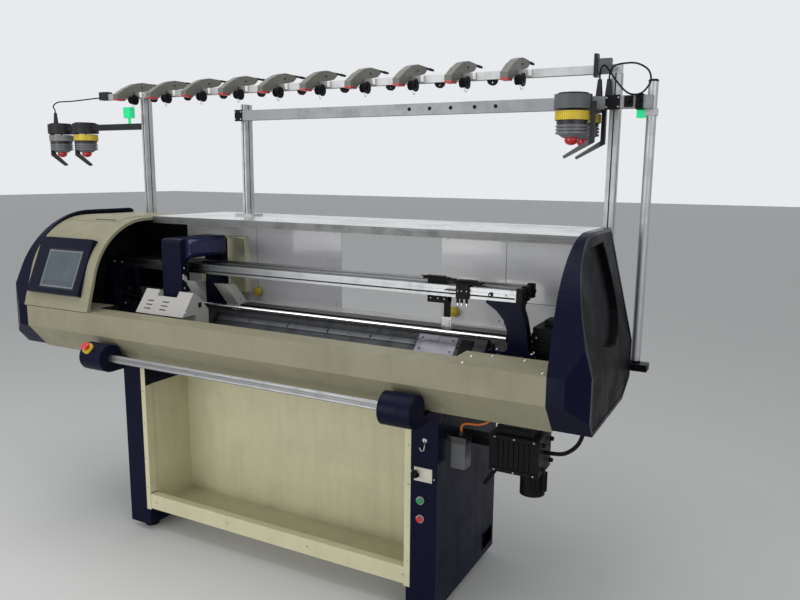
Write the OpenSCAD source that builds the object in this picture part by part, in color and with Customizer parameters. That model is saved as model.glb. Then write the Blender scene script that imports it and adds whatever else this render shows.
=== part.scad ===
// Flat knitting machine: two needle beds in a roof shape, a carriage on a bridge, a yarn stand behind.
// All sizes are millimetres. Machine axes: x along the beds to the operator's right, y away from the
// operator with 0 at the needle gap, z up from the floor.

/* [Beam] */
// Length of the beam between the two end caps
beam_len = 2240; // [2100:10:2600]
// Distance from the needle gap to the front face of the beam
beam_front = 348; // [330:2:370]
// Height of the ledge on top of the beam
ledge_z = 960; // [950:1:964]
// Height of the crease in the front of the beam
crease_z = 873; // [850:1:890]
// Height of the lower edge of the beam
beam_bottom_z = 770; // [768:1:780]
// Distance from the needle gap to the lower edge of the beam
beam_bottom_front = 262; // [255:1:280]
// Depth of the ledge on top of the beam
ledge_depth = 95; // [70:1:100]
// Thickness of the folded sheet of covers, tray and panels
sheet = 2; // [1.5:0.5:3]

/* [Needle beds] */
// Working length of the needle beds
work_len = 1100; // [900:20:1200]
// Whole length of each needle bed with its plain ends
bed_len = 1630; // [1500:10:1640]
// Slope of each bed
bed_angle = 45; // [44:0.5:46]
// Length of each bed down its slope
bed_slope = 198; // [190:1:204]
// Thickness of each bed
bed_t = 25; // [22:0.5:28]
// Height of the top edges of the beds at the gap
gap_z = 962; // [956:1:966]
// Width of the gap between the beds
gap_w = 16; // [15:0.5:18]
// Distance from one needle slot to the next
slot_pitch = 10; // [10:1:16]
// Width of a needle slot
slot_w = 3; // [2.6:0.1:4]
// Depth of a needle slot
slot_d = 4; // [3.6:0.1:5]
// Width of a needle
needle_w = 2; // [1.6:0.1:2.4]

/* [Frame and cabinets] */
// Width of each cabinet
cabinet_w = 113; // [100:1:118]
// Distance between the middles of the two cabinets
cabinet_span = 1337; // [1320:1:1400]
// Depth of each cabinet
cabinet_d = 550; // [500:5:600]
// Distance from the needle gap to the front of the cabinets
cabinet_front = 207; // [202:1:215]
// Height of the tops of the cabinets
cabinet_top = 762; // [755:1:766]
// Height of the feet under the cabinets
foot_h = 30; // [20:1:40]
// Wall of the cabinets
cabinet_wall = 3; // [2:0.5:4]
// Distance from the needle gap to the outer face of each girder
girder_out = 200; // [190:1:200]
// Distance from the needle gap to the inner face of each girder
girder_in = 62; // [50:1:70]
// Thickness of the end plates of the frame
end_plate_t = 12; // [8:1:16]

/* [End caps and head] */
// Width of each end cap
cap_w = 118; // [110:1:130]
// Height of the top of the head
cap_top = 1322; // [1316:1:1326]
// Height of the crown of the end caps over the top of the head
cap_rise = 21; // [12:1:24]
// Radius of the round shoulder
shoulder_r = 298; // [290:1:304]
// Distance from the needle gap to the axis of the shoulder
shoulder_y = 17; // [10:1:24]
// Distance from the needle gap to the back of the end caps
cap_back = 262; // [250:1:264]
// Height of the underside of the end caps
cap_bottom = 778; // [772:1:790]
// Wall of the end caps
cap_wall = 4; // [3:0.5:5]
// Length of the head along the beam
head_len = 365; // [340:1:380]
// Wall of the head
head_wall = 3; // [2:0.5:4]
// Width of the lip round the window of the head
lip_w = 12; // [8:1:24]

/* [Table and rear] */
// Height of the top of the table
table_z = 1327; // [1322:1:1340]
// Thickness of the table board
board_t = 25; // [20:1:28]
// Distance from the needle gap to the front of the table
table_front = 20; // [15:1:30]
// Distance from the needle gap to the back of the table
table_back = 470; // [440:5:500]
// Distance from the needle gap to the rear panels
panel_y = 214; // [210:1:220]
// Height of the lower edge of the rear panels
panel_bottom = 960; // [950:5:1000]
// Left edge of the window between the rear panels
window_left = 86; // [60:1:120]
// Right edge of the window between the rear panels
window_right = 534; // [500:1:560]

/* [Carrier rails and carriers] */
// Length of the carrier rails
rail_len = 1860; // [1860:2:1880]
// Height of the underside of the front carrier rail
rail_z = 1112; // [1105:1:1113]
// Height of a carrier rail
rail_h = 38; // [34:1:40]
// Width of a carrier rail
rail_w = 22; // [20:1:24]
// Distance from one carrier rail to the next
rail_step = 54; // [52:1:56]
// Rise from one carrier rail to the next
rail_rise = 2; // [1:0.5:4]
// Distance from the needle gap to the front carrier rail
rail_front = 62; // [60:1:66]
// Place of the front carrier along the beds
carrier_1_x = 745; // [-700:5:760]
// Place of the rear carrier along the beds
carrier_2_x = 630; // [-700:5:700]
// Room between a carrier and its rail
carrier_gap = 0.5; // [0.3:0.1:1]

/* [Carriage] */
// Place of the carriage along the beds
carriage_x = -475; // [-680:5:680]
// Width of the bridge
bridge_w = 100; // [80:2:110]
// Height of the top of the bridge
bridge_top = 1254; // [1251:1:1262]
// Thickness of the bridge over the rails
bridge_t = 78; // [70:1:80]
// Width of the cam plates and of the white covers
cover_w = 250; // [230:2:264]
// Room between a bed and the cam plate over it
cam_gap = 6; // [5.5:0.1:7]
// Thickness of the cam plates
cam_t = 16; // [12:1:18]

/* [Drive] */
// Distance between the two belt pulleys
pulley_span = 2100; // [2080:2:2110]
// Height of the pulley axes
pulley_z = 915; // [910:1:918]
// Radius of the pulleys under the belt
pulley_r = 30; // [26:0.5:31]
// Thickness of the belt
belt_t = 3; // [2:0.5:4]
// Width of the belt
belt_w = 18; // [14:1:20]
// Diameter of the pulley axles
axle_d = 12; // [10:0.5:14]
// Diameter of the rear guide rod
rod_d = 14; // [12:0.5:16]
// Distance from the needle gap to the rear guide rod
rod_y = 128; // [127:0.5:130]
// Height of the rear guide rod
rod_z = 942; // [940:0.5:946]
// Radial clearance of running fits
fit = 0.05; // [0.02:0.01:0.1]

/* [Start bar and buttons] */
// Diameter of the start bar
bar_d = 30; // [26:1:34]
// Distance from the needle gap to the start bar
bar_y = 365; // [362:1:372]
// Height of the start bar
bar_z = 796; // [790:1:800]
// Diameter of the start bar's journals
journal_d = 18; // [14:1:22]
// Length of a start bar journal
journal_len = 28; // [20:1:34]
// Radius of the round nose of the bar brackets
nose_r = 54; // [50:1:58]
// Diameter of the cap of the stop button
stop_d = 36; // [30:1:40]
// Diameter of the two push buttons
button_d = 21; // [18:0.5:24]
// Height of the start button
start_z = 432; // [420:1:460]
// Height of the off button
off_z = 366; // [330:1:390]

/* [Take-down] */
// Radius of the take-down rollers
roller_r = 17.5; // [14:0.5:17.5]
// Distance between the axes of the take-down rollers
roller_span = 37; // [37:0.5:42]
// Height of the take-down rollers
roller_z = 715; // [712:1:720]
// Height of the tray floor
tray_z = 108; // [90:1:120]
// Height of the front lip of the tray
tray_lip = 64; // [50:1:80]

/* [Yarn stand] */
// Width of the left and middle masts along the machine
mast_w = 22; // [18:1:26]
// Width of the right mast along the machine
right_mast_w = 30; // [24:1:34]
// Height of the lower ends of the masts
mast_foot = 850; // [840:5:870]
// Depth of a mast
mast_d = 50; // [44:1:56]
// Distance from the needle gap to the masts
stand_y = 300; // [296:1:306]
// Place of the left mast along the machine
left_mast_x = -1055; // [-1080:5:-1000]
// Place of the middle mast along the machine
mid_mast_x = -455; // [-600:5:-300]
// Place of the right mast along the machine
right_mast_x = 1130; // [1120:1:1145]
// Height of the underside of the upper rail
upper_z = 1856; // [1850:1:1880]
// Drop from the upper rail to the lower rail
lower_drop = 120; // [114:1:126]
// Depth of the two stand rails, and height of the upper one and of the left arm
stand_rail = 28; // [24:1:30]
// Height of the lower rail
lower_h = 42; // [36:1:46]
// Number of yarn hoods on the upper rail
hood_count = 10; // [6:1:10]
// Distance from one yarn hood to the next
hood_pitch = 211; // [200:1:214]
// Radius of a feeder drum
drum_r = 55; // [50:1:58]
// Drop from the upper rail to the underside of the right feeders
feeder_drop = 123; // [118:1:126]
// Drop from the right feeders to the left ones
left_drop = 32; // [28:1:36]
// Height of a feeder housing
feeder_h = 47; // [42:1:52]
// Length of a yarn hood
hood_len = 236; // [220:2:250]
// Width of a yarn hood
hood_w = 28; // [22:1:32]

/* [Hidden] */
$fn = 64;

// Colours
beige = [0.66, 0.65, 0.55];
navy = [0.10, 0.11, 0.24];
cream = [0.86, 0.84, 0.70];
dark = [0.13, 0.14, 0.16];
black = [0.05, 0.05, 0.06];
white = [0.90, 0.90, 0.88];
steel = [0.55, 0.57, 0.60];
alu = [0.74, 0.75, 0.77];
iron = [0.24, 0.26, 0.28];

// Places worked out from the sizes above
half = beam_len / 2;
leg_x = cabinet_span / 2;
leg_in = leg_x - cabinet_w / 2;
leg_out = leg_x + cabinet_w / 2;
board_z = table_z - board_t;
bed_c = cos(bed_angle);
bed_s = sin(bed_angle);
gap_y = gap_w / 2;
bed_foot = [-gap_y - bed_slope * bed_c, gap_z - bed_slope * bed_s];
bed_heel = bed_foot + bed_t * [bed_s, -bed_c];
head_x = half - head_len;
shoulder_z = cap_top - shoulder_r;
shoulder_end = 76;
bracket_in = bed_len / 2 + 9;
cover_slope = (crease_z - beam_bottom_z) / (beam_front - beam_bottom_front);
belt_y = rod_y + 30;
bar_half = leg_in - 1;
stop_x = -leg_x - 21.5;
breaker_x = leg_x + 5.5;
button_x = leg_x - 3.5;
breaker_z = 524;
lever_x = breaker_x - 22;
lever_z = breaker_z - 2;
lower_z = upper_z - lower_drop;
feeder_z = upper_z - feeder_drop;
left_feeder_z = feeder_z - left_drop;
pole_r = 16;
pole_x = right_mast_x + 118;
left_feeder_x = [left_mast_x - 613, left_mast_x - 429];
right_feeder_x = right_mast_x - 115;
feeder_reach = drum_r + 7;
plug_h = 56;
rail_face = stand_y - mast_d / 2;
front_feeder_y = rail_face - stand_rail - feeder_reach - 3;
rear_feeder_y = rail_face + feeder_reach + 3;
rail_left = left_mast_x - 240;
hood_x = left_mast_x - 75;
hood_back = stand_y + 121;
hood_rod = 80;
stop_dir = 45;

// The part's origin is the middle of its whole outline on the floor
reach_left = left_feeder_x[0] - feeder_reach - 14;
reach_right = pole_x + 44;
reach_front = -bar_y - nose_r - 11;
reach_back = hood_back + hood_rod;
frame_x = -(reach_left + reach_right) / 2;
frame_y = -(reach_front + reach_back) / 2;

module here() {
    translate([frame_x, frame_y, 0]) children();
}

// A block between two values on each axis
module block(x, y, z) {
    translate([x[0], y[0], z[0]]) cube([x[1] - x[0], y[1] - y[0], z[1] - z[0]]);
}

// An outline in y and z, drawn out along x
module prism_x(x) {
    translate([x[0], 0, 0]) rotate([90, 0, 90]) linear_extrude(x[1] - x[0]) children();
}

// An outline in x and z, drawn out along y
module prism_y(y) {
    translate([0, y[1], 0]) rotate([90, 0, 0]) linear_extrude(y[1] - y[0]) children();
}

// Round bars along each axis
module rod_x(x, y, z, d) {
    translate([x[0], y, z]) rotate([0, 90, 0]) cylinder(d = d, h = x[1] - x[0]);
}

module rod_along_y(x, y, z, d) {
    translate([x, y[0], z]) rotate([-90, 0, 0]) cylinder(d = d, h = y[1] - y[0]);
}

module rod_along_z(x, y, z, d) {
    translate([x, y, z[0]]) cylinder(d = d, h = z[1] - z[0]);
}

module both_sides() {
    children();
    mirror([1, 0, 0]) children();
}

// A cord: a smooth curve through route points, swept as a tube
function bezier(a, b, c, d, t) = 0.5 * (2 * b + (c - a) * t + (2 * a - 5 * b + 4 * c - d) * t * t
    + (3 * b - a - 3 * c + d) * t * t * t);
function route_at(p, i) = i < 0 ? 2 * p[0] - p[1] : i >= len(p) ? 2 * p[len(p) - 1] - p[len(p) - 2] : p[i];
function smooth(p, n) = [for (i = [0:len(p) - 2]) for (k = [0:n - 1])
    bezier(route_at(p, i - 1), p[i], p[i + 1], route_at(p, i + 2), k / n), p[len(p) - 1]];
function unit(v) = v / norm(v);
function side_of(t) = abs(t[2]) > 0.9 ? unit(cross(t, [0, 1, 0])) : unit(cross(t, [0, 0, 1]));

module cord(route, d, n, sides = 8) {
    p = smooth(route, n);
    last = len(p) - 1;
    rings = [for (i = [0:last])
        let (t = unit(p[min(i + 1, last)] - p[max(i - 1, 0)]), u = side_of(t), v = cross(t, u))
        for (k = [0:sides - 1]) p[i] + d / 2 * (cos(360 * k / sides) * u + sin(360 * k / sides) * v)];
    walls = [for (i = [0:last - 1]) for (k = [0:sides - 1])
        [i * sides + k, i * sides + (k + 1) % sides, (i + 1) * sides + (k + 1) % sides, (i + 1) * sides + k]];
    start = [for (k = [0:sides - 1]) sides - 1 - k];
    end = [for (k = [0:sides - 1]) last * sides + k];
    polyhedron(points = rings, faces = concat([start], walls, [end]));
}

// Outlines in y and z run counter-clockwise; inset moves one inwards, outwards when d is negative
function inset(p, d) = [for (i = [0:len(p) - 1])
    let (n = len(p), b = p[i], s = unit(b - p[(i + n - 1) % n]), e = unit(p[(i + 1) % n] - b),
        j = [-s[1], s[0]], k = [-e[1], e[0]]) b + d * (j + k) / (1 + j * k)];
slant = sqrt(1 + 1 / (cover_slope * cover_slope));
crease_in = crease_z + sheet * (sqrt(1 + cover_slope * cover_slope) - cover_slope);
function slope_y(z) = -beam_bottom_front - (z - beam_bottom_z) / cover_slope;
function shoulder(a) = [-shoulder_y - shoulder_r * sin(a), shoulder_z + shoulder_r * cos(a)];
shoulder_arc = [for (i = [0:16]) shoulder(shoulder_end * i / 16)];
crown_z = cap_top + cap_rise;
crown_r = shoulder_r + 25;
crown_y = shoulder_y - 25;
crown_arc = [for (i = [0:16]) [-crown_y - crown_r * sin(shoulder_end * i / 16),
    crown_z - crown_r + crown_r * cos(shoulder_end * i / 16)]];
cap_outline = concat([[slope_y(cap_bottom), cap_bottom], [150, cap_bottom], [cap_back, cap_bottom + 52],
    [cap_back, crown_z - 8], [cap_back - 20, crown_z]], crown_arc,
    [[-beam_front, ledge_z], [-beam_front, crease_z]]);
head_in = 16;
head_outline = concat([[-beam_front, ledge_z], [cap_back, ledge_z], [cap_back, cap_top]], shoulder_arc);
cap_lean = 13.5;
screen_lean = 23.4;
screen_x = [-half + 8, -head_x - 49];

// A frame on a bed: x along it, y out of its face, z down its slope from the gap
module on_bed() {
    translate([0, -gap_y, gap_z]) rotate([90 + bed_angle, 0, 0]) children();
}

module behind() {
    mirror([0, 1, 0]) children();
}

// Cabinets
module cabinet_shell() {
    difference() {
        block([leg_in, leg_out], [-cabinet_front, cabinet_d - cabinet_front], [foot_h, cabinet_top]);
        block([leg_in + cabinet_wall, leg_out - cabinet_wall],
            [cabinet_wall - cabinet_front, cabinet_d - cabinet_front - cabinet_wall],
            [foot_h + cabinet_wall, cabinet_top - cabinet_wall]);
        block([leg_out - cabinet_wall - 1, leg_out + 1], [229, 324], [59, 125]);
        rod_x([leg_in - 1, leg_in + cabinet_wall + 1], -roller_span / 2, roller_z, axle_d + 2 * fit);
        rod_x([leg_in - 1, leg_in + cabinet_wall + 1], roller_span / 2, roller_z, axle_d + 2 * fit);
    }
}

module left_cabinet() {
    color(navy) here() mirror([1, 0, 0]) cabinet_shell();
}

module right_cabinet() {
    color(navy) here() difference() {
        cabinet_shell();
        for (z = [start_z, off_z]) {
            rod_along_y(button_x, [-cabinet_front - 1, -cabinet_front + cabinet_wall + 1], z, button_d + 1);
        }
        rod_along_y(lever_x, [-cabinet_front - 1, -cabinet_front + cabinet_wall + 1], lever_z, 10);
    }
}

module levelling_feet() {
    color(black) here() both_sides() for (y = [-cabinet_front + 60, cabinet_d - cabinet_front - 60]) {
        rod_along_z(leg_x, y, [0, 10], 56);
        rod_along_z(leg_x, y, [9, foot_h], 18);
    }
}

// Fabric tray and the lining behind it
module tray() {
    color(cream) here() {
        block([-leg_in, leg_in], [-cabinet_front, 40], [tray_z, tray_z + sheet]);
        block([-leg_in, leg_in], [-cabinet_front, -cabinet_front + sheet], [tray_z, tray_z + tray_lip]);
        block([-leg_in, leg_in], [-cabinet_front, -cabinet_front + 30],
            [tray_z + tray_lip - sheet, tray_z + tray_lip]);
    }
}

module back_panel() {
    color(cream) here() {
        block([-leg_in, leg_in], [40, 40 + sheet], [tray_z, cabinet_top - 2]);
        both_sides() block([leg_in - sheet, leg_in], [-cabinet_front + 32, 40 + sheet],
            [tray_z + sheet, roller_z - 70]);
        both_sides() block([leg_in - 8, leg_in + 15], [-cabinet_front - sheet, -cabinet_front],
            [tray_z - 6, bar_z - nose_r - 4]);
        both_sides() block([leg_in - 8, leg_in - 8 + sheet], [-cabinet_front - sheet, -cabinet_front + 34],
            [tray_z + tray_lip + 4, roller_z - 70]);
        both_sides() block([leg_in - 8, leg_in], [-cabinet_front + 32, -cabinet_front + 34],
            [tray_z + tray_lip + 4, roller_z - 70]);
    }
}

// Bed frame: two girders, two end plates, bulkheads, shelves for the rail brackets, pulley plates
shelf_in = half - 235;
shelf_out = half - 155;
plate_in = half - 130;
shelf_z = ledge_z - 22;

module girder() {
    under = bed_heel[1] + (-girder_in - bed_heel[0]) * tan(bed_angle);
    outline = [[-girder_out, cabinet_top], [-girder_in, cabinet_top], [-girder_in, under], bed_heel,
        [-girder_out, bed_heel[1]]];
    difference() {
        prism_x([-half + end_plate_t, half - end_plate_t]) polygon(outline);
        prism_x([-half, half]) polygon(inset(outline, 8));
    }
}

module frame_end() {
    plate = [[slope_y(cabinet_top + 12) + sheet * slant, cabinet_top + 12],
        [cap_back - sheet, cabinet_top + 12], [cap_back - sheet, ledge_z - sheet],
        [sheet - beam_front, ledge_z - sheet], [sheet - beam_front, crease_in]];
    prism_x([half - end_plate_t, half]) polygon(plate);
    block([shelf_in, shelf_in + 15], [-142, 142], [bed_heel[1] - 2, shelf_z]);
    block([shelf_out - 15, shelf_out], [-142, 100], [bed_heel[1] - 2, shelf_z]);
    block([shelf_in, shelf_out], [-142, 100], [shelf_z - 16, shelf_z]);
    block([shelf_in, shelf_in + 15], [112, 144], [shelf_z - 16, rod_z + 18]);
    difference() {
        block([plate_in, half - end_plate_t + 1], [122, 134], [pulley_z - 60, ledge_z - 10]);
        rod_along_y(pulley_span / 2, [121, 135], pulley_z, axle_d + 2 * fit);
    }
}

module bed_frame() {
    color(iron) here() difference() {
        union() {
            girder();
            behind() girder();
            both_sides() frame_end();
        }
        both_sides() block([shelf_in - 2, shelf_in + 16], [rod_y - 2, 200], [pulley_z - 60, rod_z - 14]);
        both_sides() rod_x([shelf_in - 1, shelf_in + 16], rod_y, rod_z, rod_d + 2 * fit);
    }
}

module front_cover() {
    outline = [[-beam_bottom_front, beam_bottom_z], [ledge_depth - beam_front, beam_bottom_z],
        [ledge_depth - beam_front, ledge_z], [-beam_front, ledge_z], [-beam_front, crease_z]];
    cavity = [[slope_y(beam_bottom_z - 10) + sheet * slant, beam_bottom_z - 10],
        [ledge_depth - beam_front + 10, beam_bottom_z - 10],
        [ledge_depth - beam_front + 10, ledge_z - sheet], [sheet - beam_front, ledge_z - sheet],
        [sheet - beam_front, crease_in]];
    color(beige) here() {
        difference() {
            prism_x([-half, half]) polygon(outline);
            prism_x([-half - 1, half + 1]) polygon(cavity);
        }
        both_sides() block([805, half], [ledge_depth - beam_front - 1, -172], [ledge_z - sheet, ledge_z]);
    }
}

// Needle beds: a comb of slots along each bed
slots = floor(work_len / slot_pitch);
function comb(shift) = concat([[-bed_len / 2, -bed_t], [bed_len / 2, -bed_t], [bed_len / 2, 0]],
    [for (i = [slots / 2:-1:-slots / 2]) for (c = [[1, 0], [1, -1], [-1, -1], [-1, 0]])
        [i * slot_pitch + shift + c[0] * slot_w / 2, c[1] * slot_d]], [[-bed_len / 2, 0]]);

module needle_bed(shift) {
    difference() {
        on_bed() linear_extrude(bed_slope) polygon(comb(shift));
        block([-bed_len, bed_len], [-gap_y, 60], [gap_z - 90, gap_z + 20]);
    }
}

module front_needle_bed() {
    color(steel) here() needle_bed(0);
}

module rear_needle_bed() {
    color(steel) here() behind() needle_bed(slot_pitch / 2);
}

module needle_row(shift) {
    for (i = [-slots / 2:slots / 2]) {
        on_bed() translate([i * slot_pitch + shift + needle_w / 2, 0, 0]) rotate([0, -90, 0])
            linear_extrude(needle_w) polygon([[6, -slot_d + 1], [150, -slot_d], [150, -1], [104, -1],
                [104, 3], [98, 3], [98, -1], [6, -1]]);
    }
}

module needles() {
    color(alu) here() {
        needle_row(0);
        behind() needle_row(slot_pitch / 2);
    }
}

module rear_cover() {
    color(white) here() {
        block([-half, half], [cap_back - sheet, cap_back], [beam_bottom_z, ledge_z]);
        block([-half, half], [186, cap_back], [ledge_z - sheet, ledge_z]);
    }
}

module guide_rod() {
    color(alu) here() {
        rod_x([-shelf_in - 15, shelf_in + 15], rod_y, rod_z, rod_d);
        rod_x([-half + 214, half - 214], -50, 985, 12);
    }
}

// Carrier rails and their brackets
rails = [for (i = [0:2]) [-rail_front + i * rail_step, rail_z + i * rail_rise]];

module carrier_rails() {
    color(alu) here() for (r = rails) {
        difference() {
            block([-rail_len / 2, rail_len / 2], [r[0] - rail_w / 2, r[0] + rail_w / 2], [r[1], r[1] + rail_h]);
            for (s = [-1, 1]) for (z = [0.3, 0.7]) {
                block([-rail_len, rail_len], [r[0] + s * rail_w / 2 - 3, r[0] + s * rail_w / 2 + 3],
                    [r[1] + z * rail_h - 3, r[1] + z * rail_h + 3]);
            }
        }
        both_sides() block([rail_len / 2, rail_len / 2 + 14], [r[0] - rail_w / 2, r[0] + rail_w / 2],
            [r[1] + 1, r[1] + rail_h + 4]);
    }
}

module rail_bracket() {
    b = shelf_in;
    t = rail_z;
    difference() {
        union() {
            prism_y([-75, -35]) polygon([[b - 46, shelf_z], [b + 80, shelf_z], [b + 112, shelf_z + 1],
                [b + 112, shelf_z + 9], [b + 92, shelf_z + 9], [b + 90, shelf_z + 40], [b + 84, shelf_z + 86],
                [b + 76, t - 52], [b + 66, t - 24], [b + 66, t], [b - 57, t], [b - 57, t - 8],
                [b - 20, t - 32], [b + 6, t - 62], [b + 18, shelf_z + 78], [b + 21, shelf_z + 40],
                [b + 20, shelf_z + 18], [b + 12, shelf_z + 9], [b - 46, shelf_z + 9]]);
            prism_x([b, b + 40]) polygon([[-75, t - 24], [rails[2][0] + 11, t - 24],
                [rails[2][0] + 11, rails[2][1]], [rails[2][0] - 27, rails[2][1]],
                [rails[2][0] - 27, rails[1][1]], [rails[1][0] - 27, rails[1][1]], [rails[1][0] - 27, t], [-75, t]]);
            block([b + 5, b + 35], [rails[2][0] - 13, rails[2][0] + 11], [shelf_z, t - 20]);
            rod_x([b + 10, b + 40], -50, 985, 24);
        }
        rod_x([b, half - 212], -50, 985, 12.2);
    }
}

module rail_brackets() {
    color(navy) here() both_sides() rail_bracket();
}

// Yarn carriers: a saddle on a rail, with a plate on its top and a wall that hangs in front
module saddle(r, w, drop) {
    g = rail_w / 2 + carrier_gap;
    top = r[1] + rail_h + carrier_gap;
    difference() {
        block([-w, w], [r[0] - g - 7, r[0] + g + 7], [r[1] + 8, top + 7]);
        block([-w - 1, w + 1], [r[0] - g, r[0] + g], [r[1], top]);
    }
    block([-w, w], [r[0] - g - 7, r[0] - g], [r[1] - drop, r[1] + 9]);
    block([-60, 60], [r[0] - 10, r[0] + 10], [top + 6, top + 12]);
}

module carrier_1() {
    r = rails[0];
    back = r[0] - rail_w / 2 - carrier_gap;
    color(black) here() translate([carrier_1_x, 0, 0]) {
        saddle(r, 23, 3);
        for (x = [-20, -6, 12]) block([x, x + 8], [back - 7, back - 1], [r[1] - 17, r[1] - 2]);
    }
}

// The arm hangs from the back wall of its saddle and leans to the needle gap
module carrier_2() {
    r = rails[1];
    face = r[0] + rail_w / 2 + carrier_gap;
    color(black) here() translate([carrier_2_x, 0, 0]) {
        saddle(r, 38, 35);
        block([8, 38], [face, face + 7], [r[1] - 34, r[1] + 9]);
        prism_x([12, 36]) polygon([[face, r[1] - 30], [3, 1030], [3, 1000], [7, 1000], [7, 1031],
            [face + 7, r[1] - 30]]);
        prism_x([19, 29]) polygon([[3, 1001], [3, 966], [7, 966], [7, 1001]]);
    }
}

// Carriage
module over_cams() {
    difference() {
        children();
        on_bed() block([-2000, 2000], [-100, cam_gap + cam_t], [-5, 400]);
        behind() on_bed() block([-2000, 2000], [-100, cam_gap + cam_t], [-5, 400]);
    }
}

module bridge() {
    w = bridge_w / 2;
    under = bridge_top - bridge_t;
    arc = [for (i = [0:4]) [-144 - 16 * sin(90 * i / 4), bridge_top - 16 + 16 * cos(90 * i / 4)]];
    outline = concat([[-160, 820], [-130, 820], [-130, under - 20], [-110, under], [66, under],
        [86, under - 20], [86, 820], [116, 820], [116, bridge_top - 16], [100, bridge_top]], arc);
    color(navy) here() translate([carriage_x, 0, 0]) {
        over_cams() prism_x([-w, w]) polygon(outline);
        difference() {
            block([5 - w, w - 5], [115, 143], [rod_z - 15, ledge_z + 2]);
            rod_x([-w, w], rod_y, rod_z, rod_d + 2 * fit);
        }
        block([-20, 20], [142, belt_y + belt_w / 2 + 4], [pulley_z + pulley_r + belt_t + 0.8, ledge_z + 2]);
    }
}

module cam_plates() {
    color(steel) here() translate([carriage_x, 0, 0]) {
        on_bed() block([-cover_w / 2, cover_w / 2], [cam_gap, cam_gap + cam_t], [25, bed_slope - 8]);
        behind() on_bed() block([-cover_w / 2, cover_w / 2], [cam_gap, cam_gap + cam_t], [25, bed_slope - 8]);
    }
}

module hollow_x(x, p, t) {
    difference() {
        prism_x(x) polygon(p);
        prism_x([x[0] + t, x[1] - t]) polygon(inset(p, t));
    }
}

module carriage_covers() {
    w = cover_w / 2;
    n = bridge_w / 2 + 2;
    side = [[-240, ledge_z + 2], [-168, ledge_z + 2], [-168, 826], [-95, 899], [-95, 973], [-150, 1038],
        [-175, 1050]];
    front = [[-240, ledge_z + 2], [-168, ledge_z + 2], [-168, 1020], [-191, 1028]];
    rear = [[22, 1058], [100, 962], [100, 895], [112, 895], [112, 962], [160, 962], [86, 1050]];
    color(white) here() translate([carriage_x, 0, 0]) {
        over_cams() difference() {
            union() {
                both_sides() hollow_x([n, w], side, 3);
                hollow_x([-n - 3, n + 3], front, 3);
            }
            for (x = [-w + 34, -n + 42]) for (z = [978, 992, 1006]) {
                block([x, x + 34], [-235, -200], [z, z + 4]);
            }
        }
        both_sides() over_cams() hollow_x([n, w - 10], rear, 3);
    }
}

// Belt drive
module drive_motor() {
    color(black) here() {
        block([half - 145, half - 35], [-28, 122], [pulley_z - 38, pulley_z + 113]);
        for (z = [-26:16:96]) block([half - 148, half - 32], [-31, 60], [pulley_z + z, pulley_z + z + 7]);
    }
}

module pulley() {
    g = 0.3;
    y0 = belt_y - belt_w / 2;
    y1 = belt_y + belt_w / 2;
    rod_along_y(pulley_span / 2, [y0 - g, y1 + g], pulley_z, 2 * pulley_r);
    rod_along_y(pulley_span / 2, [y0 - g - 2, y0 - g], pulley_z, 2 * pulley_r + 4);
    rod_along_y(pulley_span / 2, [y1 + g, y1 + g + 2], pulley_z, 2 * pulley_r + 4);
    rod_along_y(pulley_span / 2, [123, y0], pulley_z, axle_d);
}

module drive_pulley() {
    color(alu) here() pulley();
}

module idler_pulley() {
    color(alu) here() mirror([1, 0, 0]) pulley();
}

module loop(r, y) {
    both_sides() rod_along_y(pulley_span / 2, y, pulley_z, 2 * r);
    block([-pulley_span / 2, pulley_span / 2], y, [pulley_z - r, pulley_z + r]);
}

module drive_belt() {
    y = [belt_y - belt_w / 2, belt_y + belt_w / 2];
    color(black) here() difference() {
        loop(pulley_r + 0.3 + belt_t, y);
        loop(pulley_r + 0.3, [y[0] - 1, y[1] + 1]);
    }
}

// Head with the screen
module screen_frame() {
    translate([0, -350, ledge_z + 62]) rotate([-screen_lean, 0, 0]) children();
}

module head_cover() {
    color(beige) here() difference() {
        prism_x([-half - head_in, -head_x]) polygon(head_outline);
        prism_x([-half - head_in + head_wall, -head_x - head_wall]) polygon(inset(head_outline, head_wall));
        prism_x([-half - head_in + head_wall, -head_x - head_wall]) polygon([[-300, ledge_z - 5],
            [cap_back - head_wall, ledge_z - 5], [cap_back - head_wall, ledge_z + 5], [-300, ledge_z + 5]]);
        prism_x([-head_x - 20, -head_x + 1]) polygon(concat([[-328, ledge_z + 16], [-328, ledge_z - 1],
            [cap_back - lip_w, ledge_z - 1], [cap_back - lip_w, cap_top - lip_w]],
            [for (p = shoulder_arc) p + unit([-shoulder_y, shoulder_z] - p) * lip_w]));
        screen_frame() block(screen_x, [0, 30], [0, 240]);
    }
}

module screen_bezel() {
    color(navy) here() screen_frame() difference() {
        block(screen_x, [0, 30], [0, 240]);
        block([screen_x[0] + 62, screen_x[1] - 32], [-1, 6], [21, 193]);
        block([screen_x[0] + 12, screen_x[1] - 12], [14, 31], [12, 228]);
    }
}

module screen_glass() {
    color(black) here() screen_frame() block([screen_x[0] + 62, screen_x[1] - 32], [1, 6], [21, 193]);
}

// End caps
module cap_body(t) {
    intersection() {
        prism_x([half, half + cap_w]) polygon(inset(cap_outline, t));
        prism_y([-400, 400]) polygon([[half, 700], [half + cap_w, 700], [half + cap_w, ledge_z],
            [half + cap_w - 400 * tan(cap_lean), ledge_z + 400], [half, ledge_z + 400]]);
        linear_extrude(1400) polygon([[half, -500], [half + 53 - 500 + beam_front, -500],
            [half + 53, -beam_front], [half + cap_w, 36 - beam_front], [half + cap_w, 400], [half, 400]]);
    }
}

module cap() {
    difference() {
        cap_body(0);
        intersection() {
            prism_x([half + cap_wall, half + cap_w + 1]) polygon(inset(cap_outline, 12));
            union() {
                block([half, half + 300], [-290, 400], [700, 1400]);
                block([half, half + 44], [-400, -289], [700, 1400]);
            }
        }
    }
}

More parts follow.
